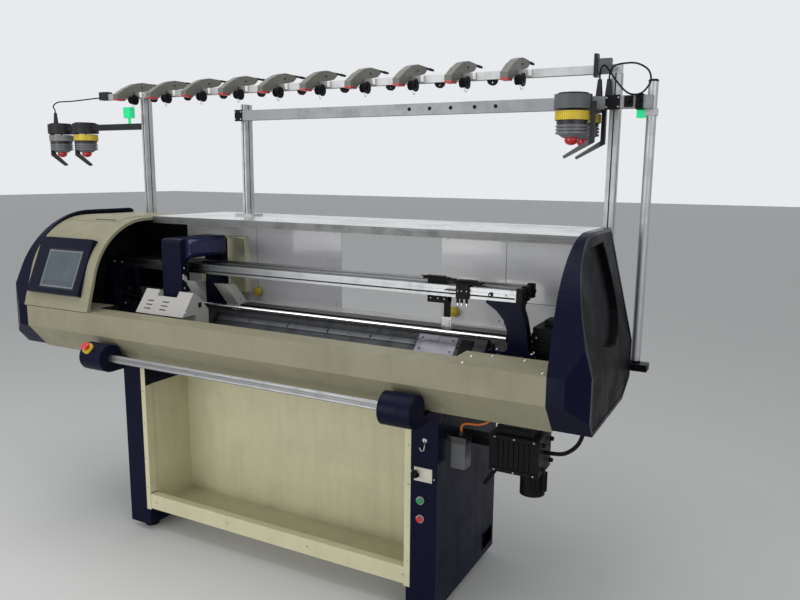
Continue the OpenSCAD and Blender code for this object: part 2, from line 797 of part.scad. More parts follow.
// A bent strip that follows the outer face of the cap, from a to b inside that face
module strip(a, b) {
    o = half + cap_w;
    d = 400 * tan(cap_lean);
    prism_y([-289.5, 400]) polygon([[o - b, 700], [o - a, 700], [o - a, ledge_z], [o - a - d, ledge_z + 400],
        [o - b - d, ledge_z + 400], [o - b, ledge_z]]);
}

leaf = [[-158, ledge_z + 82], [-140, ledge_z + 58], [-100, ledge_z + 43], [-40, ledge_z + 30],
    [30, ledge_z + 28], [80, ledge_z + 50], [122, ledge_z + 80], [146, ledge_z + 120], [152, ledge_z + 170],
    [148, ledge_z + 230], [138, ledge_z + 290], [118, crown_z - 36], [-60, crown_z - 40],
    [-104, crown_z - 50], [-138, crown_z - 76], [-150, crown_z - 110]];

module side_panel() {
    difference() {
        intersection() {
            prism_x([half + 20, half + cap_w]) polygon(inset(cap_outline, 12.5));
            strip(2, 6);
        }
        prism_x([half, half + 200]) polygon(leaf);
        for (y = [60:30:180]) block([half, half + 200], [y, y + 14], [830, 836]);
    }
    difference() {
        intersection() {
            prism_x([half, half + 200]) polygon(leaf);
            strip(4, 26);
        }
        intersection() {
            prism_x([half, half + 200]) polygon(inset(leaf, 4));
            strip(0, 23);
        }
    }
}

module left_cap() {
    color(navy) here() difference() {
        mirror([1, 0, 0]) cap();
        block([-half - head_in, -half + 1], [-400, 400], [ledge_z, 1400]);
    }
}

module right_cap() {
    color(navy) here() cap();
}

module left_side_panel() {
    color(dark) here() difference() {
        mirror([1, 0, 0]) side_panel();
        block([-half - head_in, -half + 1], [-400, 400], [ledge_z, 1400]);
    }
}

module right_side_panel() {
    color(dark) here() side_panel();
}

// Table and rear panels
table_x = [-head_x + 12, half - 20];

module table_board() {
    color(alu) here() block(table_x, [table_front, table_back], [board_z, table_z]);
}

module table_edge() {
    color(alu) here() difference() {
        block(table_x, [table_front - 12, table_front], [board_z - 3, table_z]);
        for (z = [board_z + 3, board_z + 12]) block([-2000, 2000], [0, table_front - 9], [z, z + 5]);
    }
}

module rear_panels() {
    color(white) here() for (x = [[table_x[0], window_left], [window_right, table_x[1]]]) {
        block(x, [panel_y, panel_y + sheet], [panel_bottom, board_z]);
        block(x, [panel_y, panel_y + 18], [panel_bottom, panel_bottom + sheet]);
    }
}

module junction_box() {
    color(cream) here() difference() {
        block([-640, -388], [186, panel_y], [1000, 1240]);
        block([-634, -394], [180, panel_y - 2], [1006, 1234]);
    }
}

// Start bar, its brackets and the buttons
module ribbed_bar(r, x) {
    ribs = [for (i = [0:47]) (r - (i % 2 == 0 ? 0 : 1.4)) * [cos(7.5 * i), sin(7.5 * i)]];
    translate([0, -bar_y, bar_z]) prism_x(x) polygon(ribs);
}

module start_bar() {
    color(alu) here() {
        ribbed_bar(bar_d / 2, [-bar_half, bar_half]);
        both_sides() rod_x([bar_half - 1, bar_half + journal_len], -bar_y, bar_z, journal_d);
    }
}

module on_nose() {
    translate([0, -bar_y, bar_z]) rotate([stop_dir, 0, 0]) children();
}

module bar_bracket() {
    difference() {
        union() {
            rod_x([leg_in, leg_out], -bar_y, bar_z, 2 * nose_r);
            block([leg_in, leg_out], [-bar_y, -cabinet_front], [bar_z - nose_r, beam_bottom_z - 2]);
        }
        prism_x([leg_in - 1, leg_out + 1]) polygon(inset([[-100, beam_bottom_z], [-100, ledge_z],
            [-beam_front, ledge_z], [-beam_front, crease_z], [-beam_bottom_front, beam_bottom_z]], -1));
        rod_x([leg_in - 1, leg_in + journal_len + 2], -bar_y, bar_z, journal_d + 2 * fit);
    }
}

module bar_brackets() {
    color(navy) here() {
        bar_bracket();
        difference() {
            mirror([1, 0, 0]) bar_bracket();
            on_nose() translate([stop_x, 0, nose_r - 6]) cylinder(d = 44, h = 40);
            on_nose() translate([stop_x, 0, 34]) cylinder(d = 17, h = 40);
        }
    }
}

module stop_button() {
    color([0.75, 0.08, 0.08]) here() on_nose() translate([stop_x, 0, 0]) {
        translate([0, 0, nose_r - 6]) cylinder(d = 12, h = 20);
        translate([0, 0, nose_r + 12]) cylinder(d1 = stop_d - 6, d2 = stop_d, h = 5);
        translate([0, 0, nose_r + 17]) cylinder(d = stop_d, h = 4);
        translate([0, 0, nose_r + 21]) cylinder(d1 = stop_d, d2 = stop_d - 10, h = 3);
    }
}

module button_collars() {
    color([0.9, 0.75, 0.1]) here() {
        on_nose() translate([stop_x, 0, nose_r - 6]) difference() {
            cylinder(d = 44, h = 12);
            translate([0, 0, -1]) cylinder(d = 12.6, h = 14);
        }
        for (z = [start_z, off_z]) difference() {
            rod_along_y(button_x, [-cabinet_front - 7, -cabinet_front], z, button_d + 7);
            rod_along_y(button_x, [-cabinet_front - 8, -cabinet_front + 1], z, button_d + 0.6);
        }
    }
}

module push_button(z) {
    here() rod_along_y(button_x, [-cabinet_front - 12, -cabinet_front + 14], z, button_d);
}

module start_button() {
    color([0.05, 0.5, 0.2]) push_button(start_z);
}

module off_button() {
    color([0.75, 0.08, 0.08]) push_button(off_z);
}

module breaker() {
    color(dark) here() difference() {
        block([breaker_x - 33, breaker_x + 33], [-cabinet_front - 4, -cabinet_front],
            [breaker_z - 23, breaker_z + 25]);
        rod_along_y(lever_x, [-cabinet_front - 5, -cabinet_front + 1], lever_z, 8 + 2 * fit);
        for (x = [-28, 28]) rod_along_y(breaker_x + x, [-cabinet_front - 5, -cabinet_front - 3], breaker_z - 18, 5);
    }
}

module breaker_lever() {
    color(black) here() {
        rod_along_y(lever_x, [-cabinet_front - 6, -cabinet_front + 12], lever_z, 8);
        rod_along_y(lever_x, [-cabinet_front - 12, -cabinet_front - 4.3], lever_z, 18);
        block([lever_x - 4, lever_x + 4], [-cabinet_front - 20, -cabinet_front - 11], [lever_z - 7, lever_z + 20]);
    }
}

// Take-down rollers
module roller(y) {
    color(iron) here() {
        rod_x([-leg_in + 3, leg_in - 3], y, roller_z, 2 * roller_r);
        rod_x([-leg_in - 14, leg_in + 14], y, roller_z, axle_d);
    }
}

module takedown_roller_front() {
    roller(-roller_span / 2);
}

module takedown_roller_rear() {
    roller(roller_span / 2);
}

// Yarn stand
arm_y = [stand_y - 14, stand_y + 14];
rail_y = [rail_face - stand_rail, rail_face];

module mast(x, w, z) {
    block([x - w / 2, x + w / 2], [stand_y - mast_d / 2, stand_y + mast_d / 2], z);
}

module yarn_stand() {
    color(alu) here() {
        mast(left_mast_x, mast_w, [mast_foot, upper_z + 1]);
        mast(right_mast_x, right_mast_w, [mast_foot, upper_z + 1]);
        mast(mid_mast_x, mast_w, [table_z, lower_z + 70]);
        block([mid_mast_x - 45, mid_mast_x + 45], [stand_y - 40, stand_y + 40], [table_z, table_z + 8]);
        for (x = [left_mast_x, right_mast_x]) {
            block([x - 40, x + 40], [cap_back, rail_face + 1], [mast_foot + 10, mast_foot + 90]);
        }
        block([rail_left, right_mast_x + right_mast_w / 2], arm_y, [upper_z, upper_z + stand_rail]);
        block([mid_mast_x - mast_w / 2, pole_x], rail_y, [lower_z, lower_z + lower_h]);
        block([pole_x - 14, pole_x + 8], [rail_y[0], stand_y], [lower_z, lower_z + lower_h]);
        rod_along_z(pole_x, stand_y, [mast_foot, lower_z + 88], 2 * pole_r);
        block([pole_x - 62, pole_x + 44], [cap_back, stand_y + pole_r], [mast_foot, mast_foot + 24]);
        block([pole_x - 19, pole_x + 18], [stand_y - 19, stand_y + 19], [lower_z - 22, lower_z + 1]);
    }
}

// A hood lies across the upper rail, low at the front and high at the back, with a rod on its end
module yarn_hood() {
    z = upper_z + stand_rail;
    front = hood_back - hood_len;
    shape = [[front, z - 40], [front + 44, z - 38], [arm_y[0] - 16, z - 16], [arm_y[0] - 2, z], [arm_y[1] + 2, z],
        [hood_back - 24, z + 20], [hood_back, z + 38], [hood_back - 15, z + 49], [hood_back - 80, z + 50],
        [hood_back - 131, z + 39], [front + 50, z + 14], [front, z - 18]];
    difference() {
        prism_x([-hood_w / 2, hood_w / 2]) polygon(shape);
        prism_x([2 - hood_w / 2, hood_w / 2 - 2]) polygon([[arm_y[0] - 4, z - 6], [arm_y[1] + 2, z - 6],
            [hood_back - 24, z + 14], [hood_back - 12, z + 34], [hood_back - 20, z + 46],
            [hood_back - 80, z + 47], [hood_back - 129, z + 36], [front + 60, z + 12],
            [front + 48, z - 6], [arm_y[0] - 18, z - 4]]);
    }
    rod_along_y(0, [hood_back - 24, hood_back + hood_rod], z + 48, 8);
}

module yarn_hoods() {
    color(steel) here() for (i = [0:hood_count - 1]) translate([hood_x + i * hood_pitch, 0, 0]) yarn_hood();
}

tension_d = 46;
tension_y = arm_y[0] - tension_d / 2 - 4;

module tension_discs() {
    color(black) here() {
        for (i = [0:hood_count - 1]) {
            x = hood_x + i * hood_pitch + hood_w / 2;
            rod_along_y(x + 15, [tension_y, arm_y[0]], upper_z + 5, 9);
            rod_x([x + 3, x + 29], tension_y, upper_z - 10, 32);
            rod_x([x + 28, x + 34], tension_y, upper_z - 10, tension_d);
        }
        for (i = [0:hood_count - 2]) difference() {
            rod_along_y(hood_x + (i + 0.6) * hood_pitch, [stand_y - 6, stand_y + 6], upper_z, 40);
            rod_along_y(hood_x + (i + 0.6) * hood_pitch, [stand_y - 7, stand_y + 7], upper_z - 9, 8);
            block([hood_x + (i + 0.6) * hood_pitch - 30, hood_x + (i + 0.6) * hood_pitch + 30],
                [stand_y - 8, stand_y + 8], [upper_z, upper_z + 30]);
        }
    }
}

// Yarn feeders: a round housing, a drum under it and a bent stop arm at one side
module feeder_head(x, y, z, s) {
    a = feeder_reach + 6;
    difference() {
        union() {
            rod_along_z(x, y, [z, z + feeder_h], 2 * feeder_reach);
            rod_along_z(x, y, [z + feeder_h - 1, z + feeder_h + 5], 2 * feeder_reach - 24);
        }
        rod_along_z(x, y, [z - 1, z + 11], 10 + 2 * fit);
    }
    translate([x, 0, 0]) scale([s, 1, 1]) {
        block([feeder_reach - 10, a + 8], [y - 10, y + 10], [z + 8, z + 24]);
        prism_y([y - 10, y + 10]) polygon([[a - 6, z + 24], [a - 6, z - 98], [a - 92, z - 152],
            [a - 90, z - 160], [a + 8, z - 108], [a + 8, z + 24]]);
    }
}

module plug(x, y, z) {
    translate([x, y, z]) cylinder(d1 = 24, d2 = 14, h = plug_h);
}

left_plug = [left_feeder_x[0] - 34, stand_y, left_feeder_z + feeder_h + 4];
right_plugs = [[right_feeder_x + 66, stand_y - 39, lower_z + lower_h],
    [right_feeder_x + 97, stand_y - 39, lower_z + lower_h]];

module feeder_heads() {
    arm_z = left_feeder_z + 12;
    color(black) here() {
        for (x = left_feeder_x) feeder_head(x, stand_y, left_feeder_z, -1);
        block([left_feeder_x[0], left_mast_x - mast_w / 2], arm_y, [arm_z, arm_z + stand_rail]);
        for (y = [front_feeder_y, rear_feeder_y]) feeder_head(right_feeder_x, y, feeder_z, 1);
        block([right_feeder_x - 20, right_feeder_x + 20], [front_feeder_y + 30, rail_y[0]], [feeder_z, feeder_z + 30]);
        block([right_feeder_x - 20, right_feeder_x + 20], [rail_y[1], rear_feeder_y - 30], [feeder_z, feeder_z + 30]);
        plug(left_plug[0], left_plug[1], left_plug[2]);
        for (p = right_plugs) plug(p[0], p[1], p[2]);
        block([rail_left - 55, rail_left], [stand_y - 20, stand_y + 14], [upper_z, upper_z + 38]);
        block([right_mast_x - 59, right_mast_x - 15], [arm_y[0] - 24, arm_y[0]], [upper_z - 1, upper_z + 46]);
        block([right_mast_x - 71, right_mast_x - 59], [arm_y[0] - 30, arm_y[0]], [upper_z - 13, upper_z + 62]);
    }
}

module drum(x, y, z) {
    color(steel) here() {
        rod_along_z(x, y, [z - 96, z + 10], 10);
        rod_along_z(x, y, [z - 37, z - 6], 2 * drum_r);
        rod_along_z(x, y, [z - 48, z - 36], 2 * drum_r - 8);
        rod_along_z(x, y, [z - 82, z - 47], 2 * drum_r - 16);
        for (k = [0:2]) rod_along_z(x, y, [z - 81 + k * 11, z - 74 + k * 11], 2 * drum_r - 4);
        translate([x, y, z - 93]) cylinder(r1 = drum_r - 26, r2 = drum_r - 9, h = 12);
        rod_along_z(x, y, [z - 101, z - 92], 44);
    }
}

module feeder_drum_1() {
    drum(left_feeder_x[0], stand_y, left_feeder_z);
}

module feeder_drum_2() {
    drum(left_feeder_x[1], stand_y, left_feeder_z);
}

module feeder_drum_3() {
    drum(right_feeder_x, front_feeder_y, feeder_z);
}

module feeder_drum_4() {
    drum(right_feeder_x, rear_feeder_y, feeder_z);
}

module signal_lamps() {
    lamp_z = left_feeder_z + 12 + stand_rail;
    color([0.1, 0.5, 0.25]) here() {
        rod_along_z(left_mast_x - 117, stand_y, [lamp_z, lamp_z + 28], 14);
        block([left_mast_x - 140, left_mast_x - 95], [stand_y - 15, stand_y + 15], [lamp_z + 27, lamp_z + 77]);
        block([pole_x - 46, pole_x - 19], [stand_y - 15, stand_y + 15], [lower_z - 28, lower_z + 8]);
    }
}

// Motor under the right end, oil bottle and hose
module lower_motor() {
    color(black) here() {
        block([leg_out, leg_out + 130], [-30, 30], [596, 622]);
        block([leg_out + 128, leg_out + 300], [-70, 70], [530, 662]);
        block([leg_out + 150, leg_out + 276], [-58, 58], [661, 690]);
        rod_along_z(leg_out + 262, 0, [448, 531], 85);
        rod_along_z(leg_out + 262, 0, [440, 449], 50);
        translate([leg_out + 150, -40, 534]) rotate([0, 213, 0]) cylinder(d = 15, h = 84);
    }
}

bottle = [leg_out + 48, -124];

module oil_bottle() {
    color(steel) here() {
        block([bottle[0] - 26, bottle[0] + 26], [bottle[1] - 26, bottle[1] + 26], [545, 634]);
        block([bottle[0] - 29, bottle[0] + 29], [bottle[1] - 29, bottle[1] + 29], [633, 656]);
        rod_along_z(bottle[0], bottle[1], [655, 668], 24);
        block([leg_out, bottle[0] - 28], [bottle[1] - 16, bottle[1] + 16], [638, 654]);
    }
}

hose_route = [[bottle[0], bottle[1], 668], [bottle[0], bottle[1], 682], [bottle[0] + 6, bottle[1], 694],
    [bottle[0] + 26, bottle[1], 700], [bottle[0] + 62, bottle[1], 703], [bottle[0] + 94, bottle[1], 718],
    [bottle[0] + 104, bottle[1], 744], [bottle[0] + 104, bottle[1], cabinet_top - 0.2]];

module oil_hose() {
    color([0.85, 0.35, 0.08]) here() cord(hose_route, 9, 4);
}

left_route = [[rail_left - 55, 297, upper_z + 12], [rail_left - 100, 297, upper_z + 12],
    [rail_left - 268, 298, upper_z + 5], [rail_left - 378, 300, upper_z + 4],
    [left_plug[0] - 12, 300, upper_z - 14], [left_plug[0] - 2, 300, left_plug[2] + plug_h + 14],
    [left_plug[0], 300, left_plug[2] + plug_h]];
right_route = [right_plugs[0] + [0, 0, plug_h], right_plugs[0] + [0, -3, 70], right_plugs[0] + [6, -16, 90],
    right_plugs[0] + [18, -21, 98], right_plugs[0] + [33, -22, 82], right_plugs[0] + [70, -24, 33],
    right_plugs[0] + [103, -25, 4], right_plugs[0] + [140, -26, 3], right_plugs[0] + [165, -28, 29],
    right_plugs[0] + [169, -29, 53], right_plugs[0] + [157, -31, 78], right_plugs[0] + [122, -34, 97],
    right_plugs[0] + [78, -35, 98], right_plugs[0] + [50, -30, 92], right_plugs[1] + [4, -8, 76],
    right_plugs[1] + [0, 0, plug_h]];

module left_cable() {
    color(black) here() cord(left_route, 6, 6);
}

module right_cable() {
    color(black) here() cord(right_route, 6, 4);
}

motor_route = [[leg_out + 300, 0, 600], [leg_out + 318, 0, 600], [leg_out + 366, 6, 606],
    [half + 10, 20, 640], [half + 28, 28, 700], [half + 30, 30, cap_bottom - 20],
    [half + 30, 30, cap_bottom]];

module motor_cable() {
    color(black) here() cord(motor_route, 14, 5);
}

left_cabinet();
right_cabinet();
levelling_feet();
tray();
back_panel();
bed_frame();
front_cover();
front_needle_bed();
rear_needle_bed();
needles();
rear_cover();
guide_rod();
carrier_rails();
rail_brackets();
bridge();
cam_plates();
carriage_covers();
carrier_1();
carrier_2();
drive_motor();
drive_pulley();
idler_pulley();
drive_belt();
head_cover();
screen_bezel();
screen_glass();
left_cap();
right_cap();
left_side_panel();
right_side_panel();
table_board();
table_edge();
rear_panels();
junction_box();
start_bar();
bar_brackets();
stop_button();
button_collars();
start_button();
off_button();
breaker();
breaker_lever();
takedown_roller_front();
takedown_roller_rear();
yarn_stand();
yarn_hoods();
tension_discs();
feeder_heads();
feeder_drum_1();
feeder_drum_2();
feeder_drum_3();
feeder_drum_4();
signal_lamps();
lower_motor();
oil_bottle();
oil_hose();
left_cable();
right_cable();
motor_cable();
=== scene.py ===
# %% [markdown]
# A flat knitting machine, dressed in Blender.
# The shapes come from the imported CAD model, which is loaded as a fixed frame. This script gives every
# piece its finish, adds the small pieces that a CAD drawing leaves out, and sets up light and camera.

# %% Load the machine
import math

import bmesh
import bpy
from mathutils import Matrix, Vector


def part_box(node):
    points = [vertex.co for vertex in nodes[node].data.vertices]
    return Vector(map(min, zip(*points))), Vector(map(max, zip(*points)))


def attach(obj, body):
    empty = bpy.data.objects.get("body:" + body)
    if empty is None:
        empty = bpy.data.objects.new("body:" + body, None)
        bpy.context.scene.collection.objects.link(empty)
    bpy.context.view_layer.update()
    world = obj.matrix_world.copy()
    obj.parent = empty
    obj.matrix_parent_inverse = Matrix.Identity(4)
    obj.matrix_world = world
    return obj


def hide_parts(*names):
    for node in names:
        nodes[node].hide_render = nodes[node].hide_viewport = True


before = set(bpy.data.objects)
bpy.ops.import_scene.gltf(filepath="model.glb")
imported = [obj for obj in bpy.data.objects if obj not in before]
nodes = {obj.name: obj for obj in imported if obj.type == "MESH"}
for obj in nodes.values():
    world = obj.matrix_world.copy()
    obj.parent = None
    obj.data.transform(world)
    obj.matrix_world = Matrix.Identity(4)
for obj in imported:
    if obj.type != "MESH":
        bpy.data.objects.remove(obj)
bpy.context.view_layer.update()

# %% [markdown]
# The machine's own axes have x = 0 at the middle of the beam, y = 0 at the needle gap and z = 0 on the
# floor, in millimetres, as a fitter would measure it. The helper at() turns such a place into metres in
# the frame of the model. The gap is halfway between the two needle beds, which the CAD gives. span() turns
# the box of a CAD node back into machine millimetres, so that small pieces stay on what carries them. The
# few places that no box gives, such as the centre of the head's round shoulder, are named here too.

# %% Machine axes
gap = [(a + b) / 2 for a, b in zip(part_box("front_needle_bed")[0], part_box("rear_needle_bed")[1])]
MM = 0.001
ORIGIN = Vector((gap[0], gap[1], 0))


def at(x, y, z):
    return ORIGIN + Vector((x, y, z)) * MM


def span(node):
    low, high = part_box(node)
    return [[(low[k] - ORIGIN[k]) / MM, (high[k] - ORIGIN[k]) / MM] for k in range(3)]


HALF = span("front_cover")[0][1]
LEDGE = span("front_cover")[2][1]
CABINET_X, CABINET_Y = span("right_cabinet")[:2]
GAP_Y, GAP_Z = span("front_needle_bed")[1][1], span("front_needle_bed")[2][1]
RAIL_X, RAIL_Y, RAIL_Z = span("carrier_rails")
PANEL_Y = span("rear_panels")[1][0]
HEAD_X, HEAD_Y, HEAD_Z = span("head_cover")
SHOULDER_R = 298
SHOULDER_Y, SHOULDER_Z = -17, HEAD_Z[1] - SHOULDER_R
GLASS_X, GLASS_Z = span("screen_glass")[::2]
STAND_Y, STAND_Z = span("yarn_stand")[1:]
STAND_TOP = STAND_Z[1]
UPPER_RAIL_TALL, LOWER_RAIL_DROP, LOWER_RAIL_TALL = 28, 120, 42
LOW_Z = STAND_TOP - UPPER_RAIL_TALL - LOWER_RAIL_DROP
LOW_TOP = LOW_Z + LOWER_RAIL_TALL
print("half beam", round(HALF), "ledge", round(LEDGE), "gap", round(GAP_Y), round(GAP_Z))
print("top of the stand", round(STAND_TOP), "lower rail", round(LOW_Z), "to", round(LOW_TOP))

# %% [markdown]
# Shader maths reads best as plain formulas. Num wraps the output of a node, so that an expression such
# as 1 - mask * 0.5 adds the Math nodes by itself. Only the operators that the finishes need are given, each
# with its reflected form, so that a number may stand first.

# %% Formulas made of Math nodes


class Num:
    def __init__(self, mat, out):
        self.mat, self.out = mat, out

    def maths(self, kind, a, b):
        return self.mat.node("ShaderNodeMath", {"operation": kind}, {0: a, 1: b})

    def __add__(self, other):
        return self.maths("ADD", self, other)

    def __sub__(self, other):
        return self.maths("SUBTRACT", self, other)

    def __mul__(self, other):
        return self.maths("MULTIPLY", self, other)

    def __pow__(self, other):
        return self.maths("POWER", self, other)

    def __rsub__(self, other):
        return self.maths("SUBTRACT", other, self)

    def __rpow__(self, other):
        return self.maths("POWER", other, self)

    __radd__ = __add__
    __rmul__ = __mul__


# %% [markdown]
# Mat holds one material and has a single method, node, for every kind of node: settings are set first, then
# the sockets get their values or links. axis() gives a machine axis in millimetres and over() a soft step on
# it, so that a finish can change at a known place, such as the edge of a cap. Patterns use Object
# coordinates, because every piece lies at the origin and keeps its place in its mesh.

# %% A small language for materials


class Mat:
    def __init__(self, name):
        self.data = bpy.data.materials.new(name)
        self.data.use_nodes = True
        self.tree = self.data.node_tree
        self.shader = self.tree.nodes["Principled BSDF"]

    def node(self, kind, settings=None, sockets=None, out=0):
        made = self.tree.nodes.new(kind)
        for key, value in (settings or {}).items():
            setattr(made, key, value)
        for key, value in (sockets or {}).items():
            self.plug(made.inputs[key], value)
        return Num(self, made.outputs[out])

    def plug(self, socket, value):
        if isinstance(value, Num):
            self.tree.links.new(value.out, socket)
        elif isinstance(value, (tuple, list)) and len(value) == 3 and socket.type == "RGBA":
            socket.default_value = (*value, 1.0)
        else:
            socket.default_value = value

    def place(self, scale=(1, 1, 1)):
        coords = self.node("ShaderNodeTexCoord", out="Object")
        return self.node("ShaderNodeMapping", {}, {"Vector": coords, "Scale": scale})

    def axis(self, name):
        coords = self.node("ShaderNodeTexCoord", out="Object")
        value = self.node("ShaderNodeSeparateXYZ", {}, {"Vector": coords}, out=name)
        return (value - ORIGIN["XYZ".index(name)]) * (1 / MM)

    def over(self, value, limit, soft=0.5):
        return self.ramp(value, limit - soft, limit + soft)

    def between(self, value, low, high, soft=0.5):
        return self.over(value, low, soft) - self.over(value, high, soft)

    def noise(self, size, detail=4.0, stretch=(1, 1, 1)):
        sockets = {"Vector": self.place(stretch), "Scale": 1 / size, "Detail": detail, "Roughness": 0.55}
        return self.node("ShaderNodeTexNoise", {}, sockets)

    def ramp(self, value, low, high):
        sockets = {"Value": value, "From Min": low, "From Max": high}
        return self.node("ShaderNodeMapRange", {"interpolation_type": "SMOOTHSTEP"}, sockets)

    def mix(self, mask, a, b):
        return self.node("ShaderNodeMix", {"data_type": "RGBA"}, {0: mask, 6: a, 7: b}, out=2)

    def clamp(self, value):
        return self.node("ShaderNodeClamp", {}, {"Value": value})

    def bump(self, height, depth):
        sockets = {"Height": height, "Distance": depth, "Strength": 1.0}
        return self.node("ShaderNodeBump", {}, sockets)

    def finish(self, **sockets):
        for key, value in sockets.items():
            self.plug(self.shader.inputs[key.replace("_", " ")], value)
        return self.data


def shade(colour, factor):
    return tuple(min(1.0, c * factor) for c in colour)


# %% [markdown]
# The covers are sheet steel with a sprayed coat. Up close such paint has a fine orange-peel texture,
# and years of lint and oil leave soft cloudy patches and streaks that run down. One function makes all
# the paints, so that they age in the same way and differ in colour, gloss and wear only. A paint may take
# a second colour inside a mask, which is how painted shade darkens the inside of the head.

# %% Paint


def paint(name, colour, rough=0.45, grime=0.25, peel=0.00004, dust=(0.42, 0.40, 0.34), coat=0.0,
          second=None, where=None, gloss=0.3):
    m = Mat(name)
    clouds = m.ramp(m.noise(0.16, 5.0), 0.38, 0.68)
    streaks = m.ramp(m.noise(0.035, 4.0, (1.0, 1.0, 0.12)), 0.45, 0.75)
    specks = m.ramp(m.noise(0.004, 2.0), 0.66, 0.76)
    worn = m.mix(clouds * grime, colour, shade(colour, 0.72))
    worn = m.mix(streaks * (grime * 0.6), worn, shade(colour, 0.6))
    worn = m.mix(specks * (grime * 0.5), worn, dust)
    if where:
        worn = m.mix(where(m), worn, second)
    skin = m.noise(0.0016, 2.0)
    return m.finish(Base_Color=worn, Roughness=clouds * 0.16 + streaks * 0.08 + (rough - 0.08),
                    Coat_Weight=coat, Specular_IOR_Level=gloss, Normal=m.bump(skin, peel))


# %% [markdown]
# Masks: a welded piece often has two colours, because one of its fittings is painted apart. Other masks
# hold painted shade. A mask is worked out from the machine axes. It takes the inside of the head, darkened
# as painted shade, the left feeders, the black arms, plate and plugs of the right ones, the face of the
# stand's lower rail, darkened as painted shade, and the black foot of the rear pole.

# %% Masks for a second colour
PAINT_DEPTH = 1.6
HEAD_FRONT, ROUND_FROM_Z = -296, 1100
RIGHT_FEEDERS_X, POLE_LEFT = 900, 1180
LOWER_RAIL_FACE_Y, POLE_FOOT_TALL = 275.2, 31


# The inside of the head is darkened as painted shade, which also stands for the dark works inside.
def painted_shade_in_head(m):
    x, y, z = m.axis("X"), m.axis("Y"), m.axis("Z")
    radius = ((y - SHOULDER_Y) ** 2 + (z - SHOULDER_Z) ** 2) ** 0.5
    front = (1 - m.over(y, SHOULDER_Y)) * m.over(z, ROUND_FROM_Z)
    top = m.over(z, HEAD_Z[1] - PAINT_DEPTH) + m.over(radius, SHOULDER_R - PAINT_DEPTH) * front
    across = m.between(x, HEAD_X[0] + 1.5, HEAD_X[1] - PAINT_DEPTH)
    deep = m.between(y, HEAD_FRONT, HEAD_Y[1] - 1.5)
    return across * deep * m.over(z, LEDGE + 1) * m.clamp(1 - top)


def feeder_black(m):
    x, z, axis_x = m.axis("X"), m.axis("Z"), sum(span("feeder_drum_3")[0]) / 2
    arms = m.over(x, axis_x + 61) * (1 - m.over(z, LOW_TOP + 1))
    plate = m.between(x, axis_x + 40, axis_x + 56.3) * m.over(z, LOW_TOP + 46)
    plugs = m.between(z, LOW_TOP + 0.5, LOW_TOP + 60)
    return m.clamp((1 - m.over(x, RIGHT_FEEDERS_X)) + arms + plate + plugs)


# The shaded face of the stand's lower rail is darkened as painted shade.
def stand_painted_shade(m):
    return (1 - m.over(m.axis("Y"), LOWER_RAIL_FACE_Y)) * m.between(m.axis("Z"), LOW_Z - 1, LOW_TOP + 1)


def pole_foot(m):
    return m.over(m.axis("X"), POLE_LEFT) * (1 - m.over(m.axis("Z"), STAND_Z[0] + POLE_FOOT_TALL))


# %% [markdown]
# The paints of this machine: a beige beam, navy cabinets and caps, a brighter blue on the carriage's side
# cover, which is the navy raised as painted sheen, white covers and cream boxes. The rear side of the white
# covers and the right rear panel take a lighter second colour: painted light on the covers and a painted
# reflection on the panel.

# %% Paints of the machine
# Second colours: painted shade inside the head, painted light on the rear of the white covers, and a painted
# reflection on the right part of the rear panels.
PAINTED_SHADE_INSIDE, PAINTED_LIGHT_WHITE, PAINTED_LIGHT_PANEL = (0.012, 0.012, 0.013), (0.84, 0.83, 0.80), (0.93, 0.93, 0.94)
PAINTED_LIGHT_PANEL_X = 300
beige = paint("beige_paint", (0.270, 0.256, 0.172), 0.50, 0.30, second=PAINTED_SHADE_INSIDE, where=painted_shade_in_head)
navy = paint("navy_paint", (0.0055, 0.0062, 0.021), 0.32, 0.35, dust=(0.020, 0.020, 0.034), gloss=0.06)
# The side cover's blue is the navy made brighter, as painted sheen on a glossy coat.
bridge_blue_and_sheen = paint("bridge_blue_and_sheen", (0.017, 0.019, 0.075), 0.18, 0.2, dust=(0.05, 0.05, 0.08), coat=0.5)
dark_grey = paint("dark_grey_paint", (0.0048, 0.005, 0.006), 0.46, 0.35, dust=(0.02, 0.02, 0.02), gloss=0.04)
# The rear side of the white covers takes a lighter colour, which is painted light.
white = paint("white_paint", (0.40, 0.39, 0.37), 0.42, 0.16, second=PAINTED_LIGHT_WHITE,
              where=lambda m: m.over(m.axis("Y"), 0))
# Towards the right the rear panels take a lighter colour, which is a painted reflection.
glossy_white = paint("glossy_white", (0.61, 0.61, 0.63), 0.16, 0.12, coat=0.4, second=PAINTED_LIGHT_PANEL,
                     where=lambda m: m.over(m.axis("X"), PAINTED_LIGHT_PANEL_X))
cream = paint("cream_paint", (0.60, 0.57, 0.38), 0.50, 0.28)
box_cream = paint("box_cream", (0.88, 0.85, 0.62), 0.45, 0.14)
board_grey = paint("table_board", (0.40, 0.42, 0.42), 0.20, 0.14, coat=0.3)
iron = paint("frame_iron", (0.018, 0.019, 0.021), 0.55, 0.45, gloss=0.15)
bezel_blue = paint("bezel_blue", (0.004, 0.0055, 0.018), 0.22, 0.12, dust=(0.02, 0.02, 0.03), coat=0.04,
                   gloss=0.08)
hood_grey = paint("hood_grey", (0.165, 0.162, 0.142), 0.44, 0.30)
feeder_grey = paint("feeder_grey", (0.105, 0.11, 0.115), 0.45, 0.30, second=(0.013, 0.013, 0.015),
                    where=feeder_black)
print("paints:", len(bpy.data.materials))

# %% [markdown]
# Metal without paint shows how it was worked. Extruded rails are brushed along their length, ground bed
# steel has finer lines and small oil stains, and turned parts are brighter. Lines come from noise that
# is stretched along one axis; they move the roughness and a very shallow bump. The carrier rails take a
# darker colour towards the head: painted shade of the head and a painted reflection of its dark inside.

# %% Metal finishes


